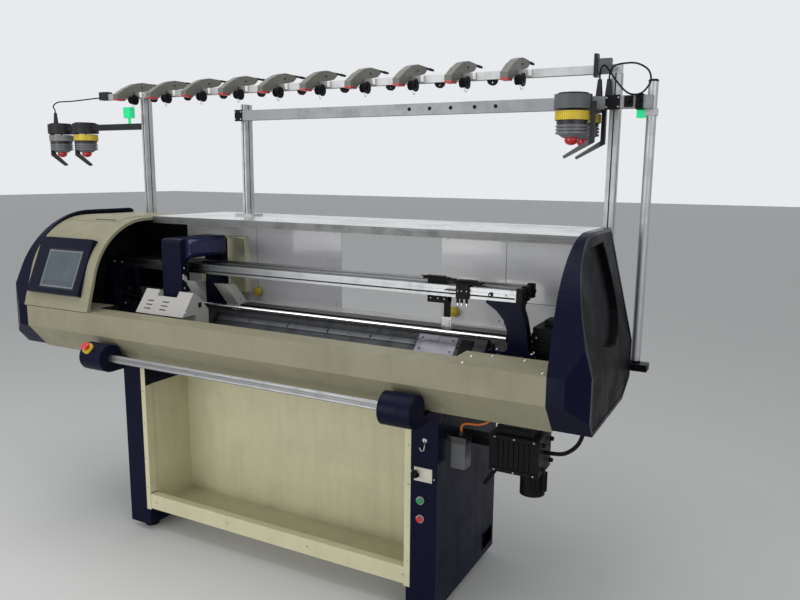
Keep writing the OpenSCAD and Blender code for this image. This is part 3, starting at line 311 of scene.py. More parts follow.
def metal(name, colour, rough, along=(0.02, 1, 1), line=0.0015, stain=0.2, depth=0.00003, layers=()):
    m = Mat(name)
    lines = m.noise(line, 3.0, along)
    cloud = m.ramp(m.noise(0.06, 4.0), 0.42, 0.72)
    tone = m.mix(cloud * stain, colour, shade(colour, 0.55))
    for where, second in layers:
        tone = m.mix(where(m), tone, second)
    return m.finish(Base_Color=tone, Metallic=1.0, Roughness=lines * 0.18 + cloud * 0.12 + (rough - 0.12),
                    Normal=m.bump(lines, depth))


RAIL_PAINTED_SHADE = (-420, 260)
aluminium = metal("brushed_aluminium", (0.31, 0.31, 0.31), 0.38)
# Towards the head the rails take a darker colour: painted shade and painted reflection.
rail_metal = metal("rail_aluminium", (0.37, 0.375, 0.38), 0.36, layers=[
    (lambda m: 1 - m.ramp(m.axis("X"), *RAIL_PAINTED_SHADE), (0.075, 0.078, 0.08))])
edge_metal = metal("table_edge_metal", (0.13, 0.133, 0.13), 0.42)
# The face of the lower rail takes a darker colour as painted shade; the foot of the pole is black.
stand_metal = metal("stand_tubes", (0.48, 0.485, 0.485), 0.50, (1, 1, 0.02), layers=[
    (stand_painted_shade, (0.26, 0.27, 0.275)), (pole_foot, (0.010, 0.010, 0.011))])
bed_steel = metal("bed_steel", (0.045, 0.047, 0.050), 0.52, (1, 0.05, 0.05), 0.0012, 0.5)
bed_end_steel = metal("bed_end_steel", (0.17, 0.165, 0.185), 0.40, (0.05, 1, 1), 0.0012, 0.35)
bed_strip_steel = metal("bed_strip_steel", (0.10, 0.103, 0.11), 0.42, (0.05, 1, 1), 0.0012, 0.35)
needle_steel = metal("needle_steel", (0.12, 0.12, 0.125), 0.42, (1, 0.05, 0.05), 0.0010, 0.3)
fixing_steel = metal("fixing_steel", (0.50, 0.50, 0.51), 0.30, (1, 1, 1), 0.0010, 0.3)
bright_rod = metal("bright_rod", (0.82, 0.82, 0.82), 0.18, (0.05, 1, 1), 0.0010, 0.12)
print("materials:", len(bpy.data.materials))

# %% [markdown]
# Plastic and rubber: moulded surfaces have a fine grain, and dust settles on them. Lint gathers on the
# black pieces of a knitting machine, so their speckle is paler and stronger. A second colour inside a mask
# gives the cap of the oil bottle, the grey bezels of the push buttons, and the dark ring and red cone of the
# feeder drums.

# %% Plastic and rubber finishes
DRUM_RING, DRUM_CONE, BOTTLE_CAP = (52.5, 65.5), 9.2, 633.5


def plastic(name, colour, rough=0.45, lint=0.15, grain=0.00003, coat=0.0, layers=(), glow=0.0, gloss=0.4):
    m = Mat(name)
    cloud = m.ramp(m.noise(0.05, 4.0), 0.40, 0.70)
    specks = m.ramp(m.noise(0.003, 2.0), 0.62, 0.74)
    tone = m.mix(cloud * 0.35, colour, shade(colour, 1.5))
    for where, second in layers:
        tone = m.mix(where(m), tone, second)
    tone = m.mix(specks * lint, tone, (0.45, 0.44, 0.40))
    if glow:
        m.finish(Emission_Color=tone, Emission_Strength=glow)
    return m.finish(Base_Color=tone, Roughness=cloud * 0.15 + (rough - 0.06), Coat_Weight=coat,
                    Specular_IOR_Level=gloss, Normal=m.bump(m.noise(0.0012, 2.0), grain))


def drum_finish(name, node):
    low = span(node)[2][0]
    return plastic(name, (0.13, 0.135, 0.145), 0.42, 0.10, layers=[
        (lambda m: m.between(m.axis("Z"), low + DRUM_RING[0], low + DRUM_RING[1]), (0.018, 0.018, 0.020)),
        (lambda m: 1 - m.over(m.axis("Z"), low + DRUM_CONE), (0.40, 0.014, 0.018))])


black = plastic("black_plastic", (0.0065, 0.0065, 0.0075), 0.48, 0.06, gloss=0.09)
rubber = plastic("black_rubber", (0.007, 0.007, 0.007), 0.62, 0.05, gloss=0.1)
grey_plastic = plastic("grey_plastic", (0.24, 0.24, 0.235), 0.45)
red = plastic("red_plastic", (0.50, 0.014, 0.016), 0.28, 0.05, coat=0.3)
green = plastic("green_plastic", (0.010, 0.20, 0.070), 0.30, 0.05, coat=0.3)
lamp_green = plastic("lamp_green", (0.010, 0.42, 0.16), 0.34, 0.02, glow=0.9)
yellow = plastic("yellow_plastic", (0.62, 0.47, 0.035), 0.34, 0.06)
collar = plastic("button_collar", (0.62, 0.47, 0.03), 0.30, 0.06, layers=[
    (lambda m: m.over(m.axis("X"), 0), (0.36, 0.36, 0.37))])
bottle = plastic("oil_bottle", (0.066, 0.070, 0.074), 0.34, 0.08, coat=0.2, layers=[
    (lambda m: m.over(m.axis("Z"), BOTTLE_CAP), (0.012, 0.012, 0.014))])
breaker_white = plastic("breaker_plate", (0.50, 0.49, 0.42), 0.40, 0.06)
hose_orange = plastic("orange_hose", (0.58, 0.15, 0.02), 0.40, 0.05)
left_drums = drum_finish("left_drums", "feeder_drum_1")
right_drums = drum_finish("right_drums", "feeder_drum_3")
print("materials:", len(bpy.data.materials))

# %% [markdown]
# The screen is off. Its bluish grey panel is a painted reflection, and a faint glow of the same colour is
# painted light. It has a lighter border and a darker bar at the foot, under glossy glass. The masks follow
# the glass from its CAD box; no picture is needed.

# %% Screen finish


def screen_finish():
    m = Mat("screen_glass")
    x, z = m.axis("X"), m.axis("Z")
    panel = m.between(x, GLASS_X[0] + 14, GLASS_X[1] - 14) * m.between(z, GLASS_Z[0] + 14, GLASS_Z[1] - 12)
    border = m.between(x, GLASS_X[0] + 8, GLASS_X[1] - 8) * m.between(z, GLASS_Z[0] + 8, GLASS_Z[1] - 7)
    bar = m.between(z, GLASS_Z[0] + 16, GLASS_Z[0] + 34) * m.between(x, GLASS_X[0] + 18, GLASS_X[1] - 18)
    # The bluish panel tone, mottled by noise, is a painted reflection.
    reflection_haze = m.ramp(m.noise(0.08, 3.0), 0.3, 0.7)
    tone = m.mix(border, (0.006, 0.006, 0.007), (0.13, 0.15, 0.165))
    tone = m.mix(panel, tone, m.mix(reflection_haze, (0.052, 0.066, 0.082), (0.066, 0.082, 0.098)))
    tone = m.mix(bar * 0.5, tone, (0.04, 0.05, 0.065))
    # The faint emission is painted light, for the screen is off.
    return m.finish(Base_Color=tone, Roughness=reflection_haze * 0.06 + 0.10, Specular_IOR_Level=0.3,
                    Emission_Color=tone, Emission_Strength=0.2)


screen = screen_finish()
print("materials:", len(bpy.data.materials))

# %% [markdown]
# Each CAD node gets one of these finishes in its material slot. The table says which, piece by piece,
# and the cell stops if a node was forgotten.

# %% Finishes for the CAD nodes
FINISH = {
    beige: ["front_cover", "head_cover"],
    navy: ["left_cabinet", "right_cabinet", "rail_brackets", "bridge", "left_cap", "right_cap",
           "bar_brackets"],
    dark_grey: ["left_side_panel", "right_side_panel"],
    white: ["rear_cover", "carriage_covers"],
    glossy_white: ["rear_panels"],
    cream: ["tray", "back_panel"],
    box_cream: ["junction_box"],
    board_grey: ["table_board"],
    iron: ["bed_frame", "takedown_roller_front", "takedown_roller_rear"],
    bezel_blue: ["screen_bezel"],
    screen: ["screen_glass"],
    hood_grey: ["yarn_hoods"],
    bottle: ["oil_bottle"],
    bed_steel: ["front_needle_bed", "rear_needle_bed", "cam_plates"],
    needle_steel: ["needles"],
    bright_rod: ["guide_rod"],
    aluminium: ["drive_pulley", "idler_pulley", "start_bar"],
    rail_metal: ["carrier_rails"],
    edge_metal: ["table_edge"],
    stand_metal: ["yarn_stand"],
    left_drums: ["feeder_drum_1", "feeder_drum_2"],
    right_drums: ["feeder_drum_3", "feeder_drum_4"],
    feeder_grey: ["feeder_heads"],
    black: ["levelling_feet", "carrier_1", "carrier_2", "drive_motor", "breaker_lever", "tension_discs",
            "lower_motor"],
    breaker_white: ["breaker"],
    rubber: ["drive_belt", "left_cable", "right_cable", "motor_cable"],
    red: ["stop_button", "off_button"],
    green: ["start_button"],
    lamp_green: ["signal_lamps"],
    collar: ["button_collars"],
    hose_orange: ["oil_hose"],
}
for finish, names in FINISH.items():
    for name in names:
        data = nodes[name].data
        if data.materials:
            data.materials[0] = finish
        else:
            data.materials.append(finish)
left_over = set(nodes) - {name for names in FINISH.values() for name in names}
assert not left_over, left_over
print("finished nodes:", sum(len(names) for names in FINISH.values()))

# %% [markdown]
# The pieces below are built on a small bench of tools, all in machine millimetres. Each tool rests on one
# bmesh operator. Blocks and bars get their sharp edges rounded, because a real edge always catches a line
# of light; an edge is sharp where its two faces turn by more than 0.8 radians. The first tools blunt edges
# and place a block between its limits in x, y and z.

# %% Bench tools: blunt edges and blocks
SHARP = 0.8


def blunt(mesh, verts, edge, steps=2):
    joined = {e for v in verts for e in v.link_edges if len(e.link_faces) == 2}
    sharp = [e for e in joined if e.calc_face_angle() > SHARP]
    bmesh.ops.bevel(mesh, geom=sharp, offset=edge, segments=steps, affect="EDGES", profile=0.5, material=-1)


def cuboid(mesh, x, y, z, edge=0.0, steps=2):
    middle = Vector(((x[0] + x[1]) / 2, (y[0] + y[1]) / 2, (z[0] + z[1]) / 2))
    size = Vector((x[1] - x[0], y[1] - y[0], z[1] - z[0]))
    verts = bmesh.ops.create_cube(mesh, size=1, matrix=Matrix.LocRotScale(middle, None, size))["verts"]
    if edge:
        blunt(mesh, verts, edge, steps)


# %% [markdown]
# Round pieces: a bar is a capped cone turned along its own direction, which suits pins, tubes and bosses
# alike. A turned piece is a profile of radius and height spun about its axis, as a lathe would make it.

# %% Bench tools: bars and turned pieces


def along(direction):
    return Vector(direction).to_track_quat("Z", "Y").to_matrix().to_4x4()


def bar(mesh, start, end, radius, tip=None, edge=0.0, sides=24):
    run = Vector(end) - Vector(start)
    place = Matrix.Translation((Vector(start) + Vector(end)) / 2) @ along(run)
    tip = radius if tip is None else tip
    verts = bmesh.ops.create_cone(mesh, cap_ends=True, segments=sides, radius1=radius, radius2=tip,
                                  depth=run.length, matrix=place)["verts"]
    if edge:
        blunt(mesh, verts, edge)


def turned(mesh, base, direction, profile, sides=24):
    before = set(mesh.verts)
    verts = [mesh.verts.new((r, 0, h)) for r, h in profile]
    edges = [mesh.edges.new(pair) for pair in zip(verts, verts[1:])]
    bmesh.ops.spin(mesh, geom=verts + edges, cent=(0, 0, 0), axis=(0, 0, 1), angle=math.tau, steps=sides,
                   use_merge=True)
    bmesh.ops.remove_doubles(mesh, verts=[v for v in mesh.verts if v not in before], dist=0.01)
    made = [v for v in mesh.verts if v not in before]
    bmesh.ops.transform(mesh, matrix=Matrix.Translation(base) @ along(direction), verts=made)


# %% [markdown]
# Screws: a machine has many, so each is a low cone with a socket sunk into its head, of only 26 faces.

# %% Bench tools: screws


def screw(mesh, place, out, radius=4.0, sides=12):
    before = set(mesh.verts)
    bmesh.ops.create_cone(mesh, cap_ends=True, segments=sides, radius1=radius, radius2=radius * 0.8,
                          depth=radius * 0.6, matrix=Matrix.Translation((0, 0, radius * 0.3)))
    made = [v for v in mesh.verts if v not in before]
    top = max({f for v in made for f in v.link_faces}, key=lambda f: f.calc_center_median().z)
    bmesh.ops.inset_region(mesh, faces=[top], thickness=radius * 0.35)
    bmesh.ops.translate(mesh, verts=list(top.verts), vec=(0, 0, -radius * 0.35))
    made = [v for v in mesh.verts if v not in before]
    bmesh.ops.transform(mesh, matrix=Matrix.Translation(place) @ along(out), verts=made)


# %% [markdown]
# piece() brings a mesh from machine millimetres into the frame, gives it its finish, and says which
# body it rides on. Most pieces ride on the fixed machine.

# %% Bench tools: finished pieces


def piece(name, mesh, finish, body="machine"):
    bmesh.ops.recalc_face_normals(mesh, faces=mesh.faces)
    bmesh.ops.transform(mesh, matrix=Matrix.Translation(ORIGIN) @ Matrix.Scale(MM, 4), verts=mesh.verts)
    data = bpy.data.meshes.new(name)
    mesh.to_mesh(data)
    mesh.free()
    made = bpy.data.objects.new(name, data)
    bpy.context.collection.objects.link(made)
    data.materials.append(finish)
    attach(made, body)
    print(name, "faces:", len(data.polygons), "on", body)
    return made


# %% [markdown]
# Needle beds: along the top of each bed runs a narrow ground strip that holds the needles down, fixed with
# small screws. Past the working length each bed ends in a plain ground plate with a stop block, and a black
# cushion takes up the end of the gap. All of it is lower than the room under the cams, so the carriage
# passes over it. A frame on the bed, x along it, v down the slope and w out of its face, makes these plain
# blocks. What stands at both ends of the machine is made once and mirrored.

# %% A frame on the sloping beds
SLOPE = math.sqrt(0.5)


def mirrored(end, x):
    return sorted((end * x[0], end * x[1]))


def bed_point(x, v, w, side):
    return Vector((x, side * (v * SLOPE + w * SLOPE - GAP_Y), GAP_Z - v * SLOPE + w * SLOPE))


def bed_block(mesh, x, v, w, side, edge=0.6):
    out = Vector((0, side, 1)).normalized()
    down = Vector((0, side, -1)).normalized()
    axes = Matrix((Vector((1, 0, 0)), down, out)).transposed().to_4x4()
    place = bed_point(sum(x) / 2, sum(v) / 2, sum(w) / 2, side)
    scale = Matrix.Diagonal((x[1] - x[0], v[1] - v[0], w[1] - w[0], 1))
    verts = bmesh.ops.create_cube(mesh, size=1, matrix=Matrix.Translation(place) @ axes @ scale)["verts"]
    blunt(mesh, verts, edge, 1)


# %% [markdown]
# Each strip is cut in six lengths with a small gap between them, as long ground strips are. Strips, plates
# and cushions are sunk half a millimetre into the bed, and each stop block stands on its plate.

# %% Strips, end plates and screws on the needle beds
SUNK = -0.5
STRIPS, STRIP_LEN, STRIP_STEP, STRIP_LEFT, STRIP_TOP = 6, 183, 186, -556, 2.6
STRIP_SCREWS, SCREW_STEP, SCREW_LEFT = 13, 92, -552
PLATE_X, PLATE_TOP, STOP_X = (558, 709), 2.2, (600, 640)
PLATE_SCREWS = [(x, v) for x in (576, 692) for v in (20, 66)]
for side, name in ((-1, "front"), (1, "rear")):
    strip, plates, screws = bmesh.new(), bmesh.new(), bmesh.new()
    for k in range(STRIPS):
        left = STRIP_LEFT + k * STRIP_STEP
        bed_block(strip, (left, left + STRIP_LEN), (32, 54), (SUNK, STRIP_TOP), side)
    for end in (-1, 1):
        bed_block(plates, mirrored(end, PLATE_X), (5, 84), (SUNK, PLATE_TOP), side, 0.8)
        bed_block(plates, mirrored(end, STOP_X), (8, 30), (2.0, 4.0), side, 0.6)
        for x, v in PLATE_SCREWS:
            screw(screws, bed_point(end * x, v, PLATE_TOP, side), (0, side, 1), 3)
    for k in range(STRIP_SCREWS):
        screw(screws, bed_point(SCREW_LEFT + k * SCREW_STEP, 43, STRIP_TOP, side), (0, side, 1), 2.6)
    piece(name + "_bed_strip", strip, bed_strip_steel)
    piece(name + "_bed_plates", plates, bed_end_steel)
    piece(name + "_bed_screws", screws, black)
cushion = bmesh.new()
for end in (-1, 1):
    bed_block(cushion, mirrored(end, (722, 768)), (10, 96), (SUNK, 4.0), -1, 1.5)
    bar(cushion, bed_point(end * 712, 46, SUNK, -1), bed_point(end * 748, 46, SUNK, -1), 3.6, edge=0.8)
piece("gap_cushions", cushion, rubber)

# %% [markdown]
# Carrier rails: each end of a rail is closed by a black cap, and the front rail is bolted to its bracket
# beside a black knob. The foot of the bracket has bolts of its own. A thin dark strip runs along the front
# of each rail in its groove, as painted shade of the groove. The rails rise a little from front to back.

# %% Rail caps and bracket bolts
RAILS, RAIL_STEP, RAIL_TALL, RAIL_END = 3, 54, 42, RAIL_X[1]
RAIL_RISE = (RAIL_Z[1] - RAIL_Z[0] - RAIL_TALL) / (RAILS - 1)
CAP_X = (RAIL_END - 15, RAIL_END + 9)
KNOB_X, FRONT_BOLT_X, BOLT_Z = 843, 896, 1131
FOOT_BOLTS, FOOT_TOP, PEG_X = ((864, -55), (987, -65), (987, -45)), 947, 849
caps, bolts, lines = bmesh.new(), bmesh.new(), bmesh.new()
for i in range(RAILS):
    y, z = RAIL_Y[0] + 11 + i * RAIL_STEP, RAIL_Z[0] + i * RAIL_RISE
    for end in (-1, 1):
        cuboid(caps, mirrored(end, CAP_X), (y - 13, y + 13), (z - 3, z + 45), 2)
        bar(caps, (end * (RAIL_END + 8), y, z + 20), (end * (RAIL_END + 13), y, z + 20), 7, edge=1)
    # A thin dark strip in the groove of each rail: painted shade.
    cuboid(lines, (RAIL_X[0] + 20, RAIL_END - 20), (y - 9.6, y - 7.8), (z + 9.2, z + 13.6), 0.3, 1)
for end in (-1, 1):
    knob = Vector((end * KNOB_X, RAIL_Y[0] - 6, BOLT_Z))
    bar(caps, knob + Vector((0, 7, 0)), knob, 7.5, edge=1.5, sides=20)
    screw(bolts, knob, (0, -1, 0), 3.6)
    screw(bolts, (end * FRONT_BOLT_X, RAIL_Y[0], BOLT_Z), (0, -1, 0), 4.5)
    for x, y in FOOT_BOLTS:
        screw(bolts, (end * x, y, FOOT_TOP), (0, 0, 1), 5)
    bar(caps, (end * PEG_X, -55, FOOT_TOP - 1), (end * PEG_X, -55, FOOT_TOP + 19), 8, 6, edge=1.5)
piece("rail_groove_shade", lines, iron)
piece("rail_caps", caps, black)
piece("rail_bolts", bolts, fixing_steel)

# %% [markdown]
# Yarn carriers: thin sliders lie on top of each carrier and reach past it, because the carriage catches them
# there. slider_plates() stacks them, each given by its left and right end, half its depth and its two
# heights, and gives back the place under the middle of the carrier. The front carrier shows short hooks
# only, each with a steel tip.

# %% Fittings of the front yarn carrier
CARRIER_MIDDLE, CARRIER_TALL = 18.5, 50.5
FRONT_PLATES = [(-38, 74, 8, -0.5, 3), (-30, 66, 13, 2.6, 5), (-22, 44, 15, 4.6, 9)]


def slider_plates(node, plates):
    (x0, x1), (y0, y1), (z0, z1) = span(node)
    x, y, mesh = (x0 + x1) / 2, y0 + CARRIER_MIDDLE, bmesh.new()
    for left, right, half, low, high in plates:
        edge = min(1.5, (high - low) / 3)
        cuboid(mesh, (x + left, x + right), (y - half, y + half), (z1 + low, z1 + high), edge)
    return mesh, x, y, z1 - CARRIER_TALL


slider, x, y, z = slider_plates("carrier_1", FRONT_PLATES)
steel = bmesh.new()
cuboid(slider, (x - 64, x - 18), (y - 22, y - 18), (z + 22, z + 26), 0.8)
for dx in (-16, -2, 16):
    cuboid(steel, (x + dx - 2.2, x + dx + 2.2), (y - 17.4, y - 13.4), (z - 27, z - 15), 0.6)
    screw(steel, (x + dx, y - CARRIER_MIDDLE, z + 24), (0, -1, 0), 2.4)
piece("front_carrier_slider", slider, black, "front_carrier")
piece("front_carrier_steel", steel, fixing_steel, "front_carrier")

# %% [markdown]
# The rear carrier has an arm that ends in a bright plate over the gap, with an eye and a thin tip that the
# yarn runs through. The plate rides with its carrier.

# %% Fittings of the rear yarn carrier
REAR_PLATES = [(-64, 40, 8, -0.5, 3), (-50, 20, 13, 2.6, 6), (-72, -40, 5, 2, 4.5)]
slider, x, y, z = slider_plates("carrier_2", REAR_PLATES)
steel = bmesh.new()
for dx in (-26, 2, 26):
    screw(steel, (x + dx, y - CARRIER_MIDDLE, z - 20), (0, -1, 0), 3)
cuboid(steel, (x + 4, x + 44), (0.4, 3.4), (980, 1026), 1.2)
cuboid(steel, (x + 12, x + 36), (-0.8, 0.8), (990, 1018), 0.6)
turned(steel, (x + 24, 0.4, 1004), (0, -1, 0), [(6, 0), (6, 2.4), (10, 2.4), (10, 0), (6, 0)], 20)
bar(steel, (x + 24, 5, 990), (x + 24, 5, 968), 5, 2.4, edge=0.5)
piece("rear_carrier_slider", slider, black, "rear_carrier")
piece("rear_carrier_steel", steel, fixing_steel, "rear_carrier")

# %% [markdown]
# Carriage: screws and rims on the white covers, and under the bridge a rail with small magnets and pins
# that pick up the carriers. A blue side cover with round edges hides the works of the bridge. All of it
# rides with the carriage.

# %% Fittings of the carriage
MAGNETS, MAGNET_STEP = 6, 12
trim, steel, pale_bits = bmesh.new(), bmesh.new(), bmesh.new()
cx = sum(span("bridge")[0]) / 2
cover_right = span("carriage_covers")[0][1]
for y, z in ((112, 985), (144, 966)):
    screw(steel, (cover_right - 10, y, z), (1, 0, 0), 4)
cuboid(trim, (cover_right - 1, cover_right + 1.2), (-152, -134), (988, 1008), 0.5, 1)
for y, z in ((-222, 978), (-118, 978)):
    screw(steel, (cover_right, y, z), (1, 0, 0), 4)
for x in [cx - 30 + k * MAGNET_STEP for k in range(MAGNETS)]:
    cuboid(trim, (x - 4, x + 4), (-128, -108), (1096, 1130), 1)
    bar(steel, (x, -118, 1097), (x, -118, 1078), 1.8, edge=0.3, sides=10)
cuboid(trim, (cx - 42, cx + 42), (-130.5, -106), (1126, 1140), 1.5)
for k in range(3):
    cuboid(pale_bits, (cx + 50, cx + 55), (-154 + k * 8, -149 + k * 8), (1094 - k * 6, 1116 - k * 6), 0.8)
for z in (1140, 1060):
    screw(steel, (cx + 50, -145, z), (1, 0, 0), 3.5)
dome = bmesh.new()
cuboid(dome, (cx + 30, cx + 66), (-122, 98), (1181, 1250), 15, 6)
cuboid(dome, (cx + 46, cx + 53), (-128, 104), (1179, 1252), 2, 2)
piece("bridge_side_cover", dome, bridge_blue_and_sheen, "carriage")
piece("carriage_trim", trim, black, "carriage")
piece("carriage_clips", pale_bits, white, "carriage")
piece("carriage_screws", steel, fixing_steel, "carriage")

# %% [markdown]
# Cables and the oil hose are flexible, so each is a curve along its route and not a bent rod. A route's
# points are those of the CAD, smoothed the same way. All four go back into the machine at their far end.

# %% Cables and oil hose
LEFT_ROUTE = [(-1350, 297, 1868), (-1395, 297, 1868), (-1563, 298, 1861), (-1673, 300, 1860),
              (-1714, 300, 1842), (-1704, 300, 1822), (-1702, 300, 1808)]
RIGHT_ROUTE = [(1081, 261, 1834), (1081, 258, 1848), (1087, 245, 1868), (1099, 240, 1876),
               (1114, 239, 1860), (1151, 237, 1811), (1184, 236, 1782), (1221, 235, 1781),
               (1246, 233, 1807), (1250, 232, 1831), (1238, 230, 1856), (1203, 227, 1875),
               (1159, 226, 1876), (1131, 231, 1870), (1116, 253, 1854), (1112, 261, 1834)]
MOTOR_ROUTE = [(1025, 0, 600), (1043, 0, 600), (1091, 6, 606), (1130, 20, 640),
               (1148, 28, 700), (1150, 30, 758), (1150, 30, 778)]
HOSE_ROUTE = [(773, -124, 668), (773, -124, 682), (779, -124, 694), (799, -124, 700),
              (835, -124, 703), (867, -124, 718), (877, -124, 744), (877, -124, 761.8)]


def smooth(route, steps):
    knots = [Vector(p) for p in route]
    knots = [2 * knots[0] - knots[1]] + knots + [2 * knots[-1] - knots[-2]]
    line = []
    for a, b, c, d in zip(knots, knots[1:], knots[2:], knots[3:]):
        for k in range(steps):
            t = k / steps
            line.append(0.5 * (2 * b + (c - a) * t + (2 * a - 5 * b + 4 * c - d) * t * t
                               + (3 * b - a - 3 * c + d) * t * t * t))
    return line + [knots[-2]]


def cord(node, route, width, steps, finish):
    line = [at(*p) for p in smooth(route, steps)]
    curve = bpy.data.curves.new(node + "_cord", "CURVE")
    curve.dimensions = "3D"
    curve.bevel_depth = width / 2 * MM
    curve.bevel_resolution = 3
    curve.use_fill_caps = True
    spline = curve.splines.new("POLY")
    spline.points.add(len(line) - 1)
    for knot, place in zip(spline.points, line):
        knot.co = (*place, 1)
    curve.materials.append(finish)
    made = bpy.data.objects.new(node + "_cord", curve)
    bpy.context.collection.objects.link(made)
    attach(made, "machine")
    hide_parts(node)


cord("left_cable", LEFT_ROUTE, 6, 6, rubber)
cord("right_cable", RIGHT_ROUTE, 6, 4, rubber)
cord("motor_cable", MOTOR_ROUTE, 14, 5, rubber)
cord("oil_hose", HOSE_ROUTE, 9, 4, hose_orange)

# %% [markdown]
# Yarn hoods: a red strip lies under the front of each hood, its rod ends in a black tip, and a pale clip
# sits on the rail at either side of the hood and its tension disc. The disc has ribs and a wire. Hoods
# repeat at one spacing, taken from the box of the row, so one function dresses a hood and another its disc.
# The lower rail has five small pads of its own.

# %% Strips, clips and rods of the yarn hoods
HOOD_X, HOOD_Y, HOOD_Z = span("yarn_hoods")
HOODS, HALF_HOOD = 10, 14
HOOD_STEP = (HOOD_X[1] - HOOD_X[0] - 2 * HALF_HOOD) / (HOODS - 1)
ROD_Z = HOOD_Z[1] - 4
DISC_Y, DISC_Z = 259, 1846
RIBS, RIB_STEP = 3, 8
PAD_X, PAD_Z = (372, 457, 543, 638, 719), STAND_TOP - 126
strips, clips, rods, wires = bmesh.new(), bmesh.new(), bmesh.new(), bmesh.new()


def dress_hood(x):
    front, back = HOOD_Y
    cuboid(strips, (x - 14.6, x + 14.6), (front - 1, front + 46), (HOOD_Z[0] - 4, HOOD_Z[0] + 2.5), 1.2)
    for left in (x - 34, x + 56):
        cuboid(clips, (left, left + 12), (277, 286.5), (HOOD_Z[0] + 15, HOOD_Z[0] + 39), 1.5)
    bar(rods, (x, back - 30, ROD_Z), (x, back + 6, ROD_Z), 6, 4.6, edge=1.2, sides=12)
    bar(rods, (x, back - 76, ROD_Z), (x, back - 28, ROD_Z), 4.7, edge=0.6, sides=12)
    screw(rods, (x + HALF_HOOD, front + 150, HOOD_Z[1] - 26), (1, 0, 0), 4)


def dress_disc(x):
    for left in [x + 20 + k * RIB_STEP for k in range(RIBS)]:
        bar(rods, (left, DISC_Y, DISC_Z), (left + 3, DISC_Y, DISC_Z), 18, edge=0.8)
    bar(rods, (x + 47, DISC_Y, DISC_Z), (x + 51, DISC_Y, DISC_Z), 9, edge=1, sides=16)
    bends = [(36, -7, -14), (38, -9, -30), (44, -11, -36), (50, -11, -28)]
    wire = [(x + dx, DISC_Y + dy, DISC_Z + dz) for dx, dy, dz in bends]
    for a, b in zip(wire, wire[1:]):
        bar(wires, a, b, 1.1, sides=8)


for k in range(HOODS):
    dress_hood(HOOD_X[0] + HALF_HOOD + k * HOOD_STEP)
    dress_disc(HOOD_X[0] + HALF_HOOD + k * HOOD_STEP)
for x in PAD_X:
    bar(rods, (x, STAND_Y[0] + 0.5, PAD_Z), (x, STAND_Y[0] - 2, PAD_Z), 7, edge=0.6, sides=16)
piece("hood_wires", wires, fixing_steel)
piece("hood_strips", strips, red)
piece("hood_clips", clips, white)
piece("hood_fittings", rods, black)

# %% [markdown]
# Yarn feeders: a toothed band runs round each drum, grey on the first and yellow on the others, and a red
# domed lens closes the drum below. The teeth are every second face of a closed ring, pushed outwards.

# %% Bands and lenses of the feeder drums
BAND_TALL, BAND_SIDES = 29, 96
LENS_R, LENS_DEEP = 22.6, 17


def feeder_band(name, body, x, y, top, radius, finish):
    mesh = bmesh.new()
    inner, outside = radius - 0.5, radius + 1
    ring = [(inner, 0), (outside, 0), (outside, BAND_TALL), (inner, BAND_TALL), (inner, 0)]
    turned(mesh, (x, y, top - 36), (0, 0, 1), ring, BAND_SIDES)
    spokes = {f: (f.calc_center_median() - Vector((x, y, 0))).xy for f in mesh.faces}
    outer = [f for f in mesh.faces if spokes[f].length > radius + 0.8]
    outer.sort(key=lambda f: math.atan2(spokes[f].y, spokes[f].x))
    bmesh.ops.recalc_face_normals(mesh, faces=mesh.faces)
    bmesh.ops.inset_individual(mesh, faces=outer[::2], thickness=0.5, depth=1.4)
    piece(name, mesh, finish, body)


def lens_piece(name, body, x, y, z):
    mesh = bmesh.new()
    angles = [math.radians(15 * k) for k in range(6)]
    dome = [(LENS_R * math.cos(a), -LENS_DEEP * math.sin(a)) for a in angles] + [(0, -LENS_DEEP)]
    turned(mesh, (x, y, z), (0, 0, 1), [(0, 5), (LENS_R, 5)] + dome, 28)
    piece(name, mesh, red, body)


for k, tone in enumerate((grey_plastic, yellow, yellow, yellow), start=1):
    (x0, x1), (y0, y1), (z0, z1) = span("feeder_drum_%d" % k)
    x, y = (x0 + x1) / 2, (y0 + y1) / 2
    feeder_band("feeder_band_%d" % k, "drum_%d" % k, x, y, z1 - 10, (x1 - x0) / 2, tone)
    lens_piece("feeder_lens_%d" % k, "drum_%d" % k, x, y, z0 + 1)

# %% [markdown]
# The stand is bolted together: black clamps hold two of the masts to the lower rail, two more sit at the
# right end of that rail, and a plug closes the rear pole. The masts are extrusions with a groove up the
# front and the right side of each, and a thin dark strip in each groove is painted shade.

# %% Clamps, grooves and plugs of the yarn stand
LEFT_MAST, MID_MAST, RIGHT_MAST, REAR_POLE = -1055, -455, 1130, 1248
MASTS = ((LEFT_MAST, 11), (MID_MAST, 11), (RIGHT_MAST, 15))
TABLE_TOP, BEAM_TOP = 1336, 946
clamps, bolts, grooves = bmesh.new(), bmesh.new(), bmesh.new()
for x, width in MASTS[1:]:
    cuboid(clamps, (x - width - 9, x + width + 9), (243.5, 247.5), (LOW_Z - 3, LOW_Z + 45), 1.5)
    for dz in (6, 36):
        screw(bolts, (x - width - 4, 243.5, LOW_Z + dz), (0, -1, 0), 4)
        screw(bolts, (x + width + 4, 243.5, LOW_Z + dz), (0, -1, 0), 4)
cuboid(clamps, (1168, 1196), (238, 247.5), (LOW_Z + 4, LOW_Z + 40), 2)
bar(clamps, (1182, 239, LOW_Z + 22), (1182, 226, LOW_Z + 22), 8, 6, edge=1)
cuboid(clamps, (1204, 1228), (240, 282), (LOW_Z - 4, LOW_Z + 46), 2)
bar(clamps, (1216, 241, LOW_Z + 22), (1216, 222, LOW_Z + 22), 5, edge=1)
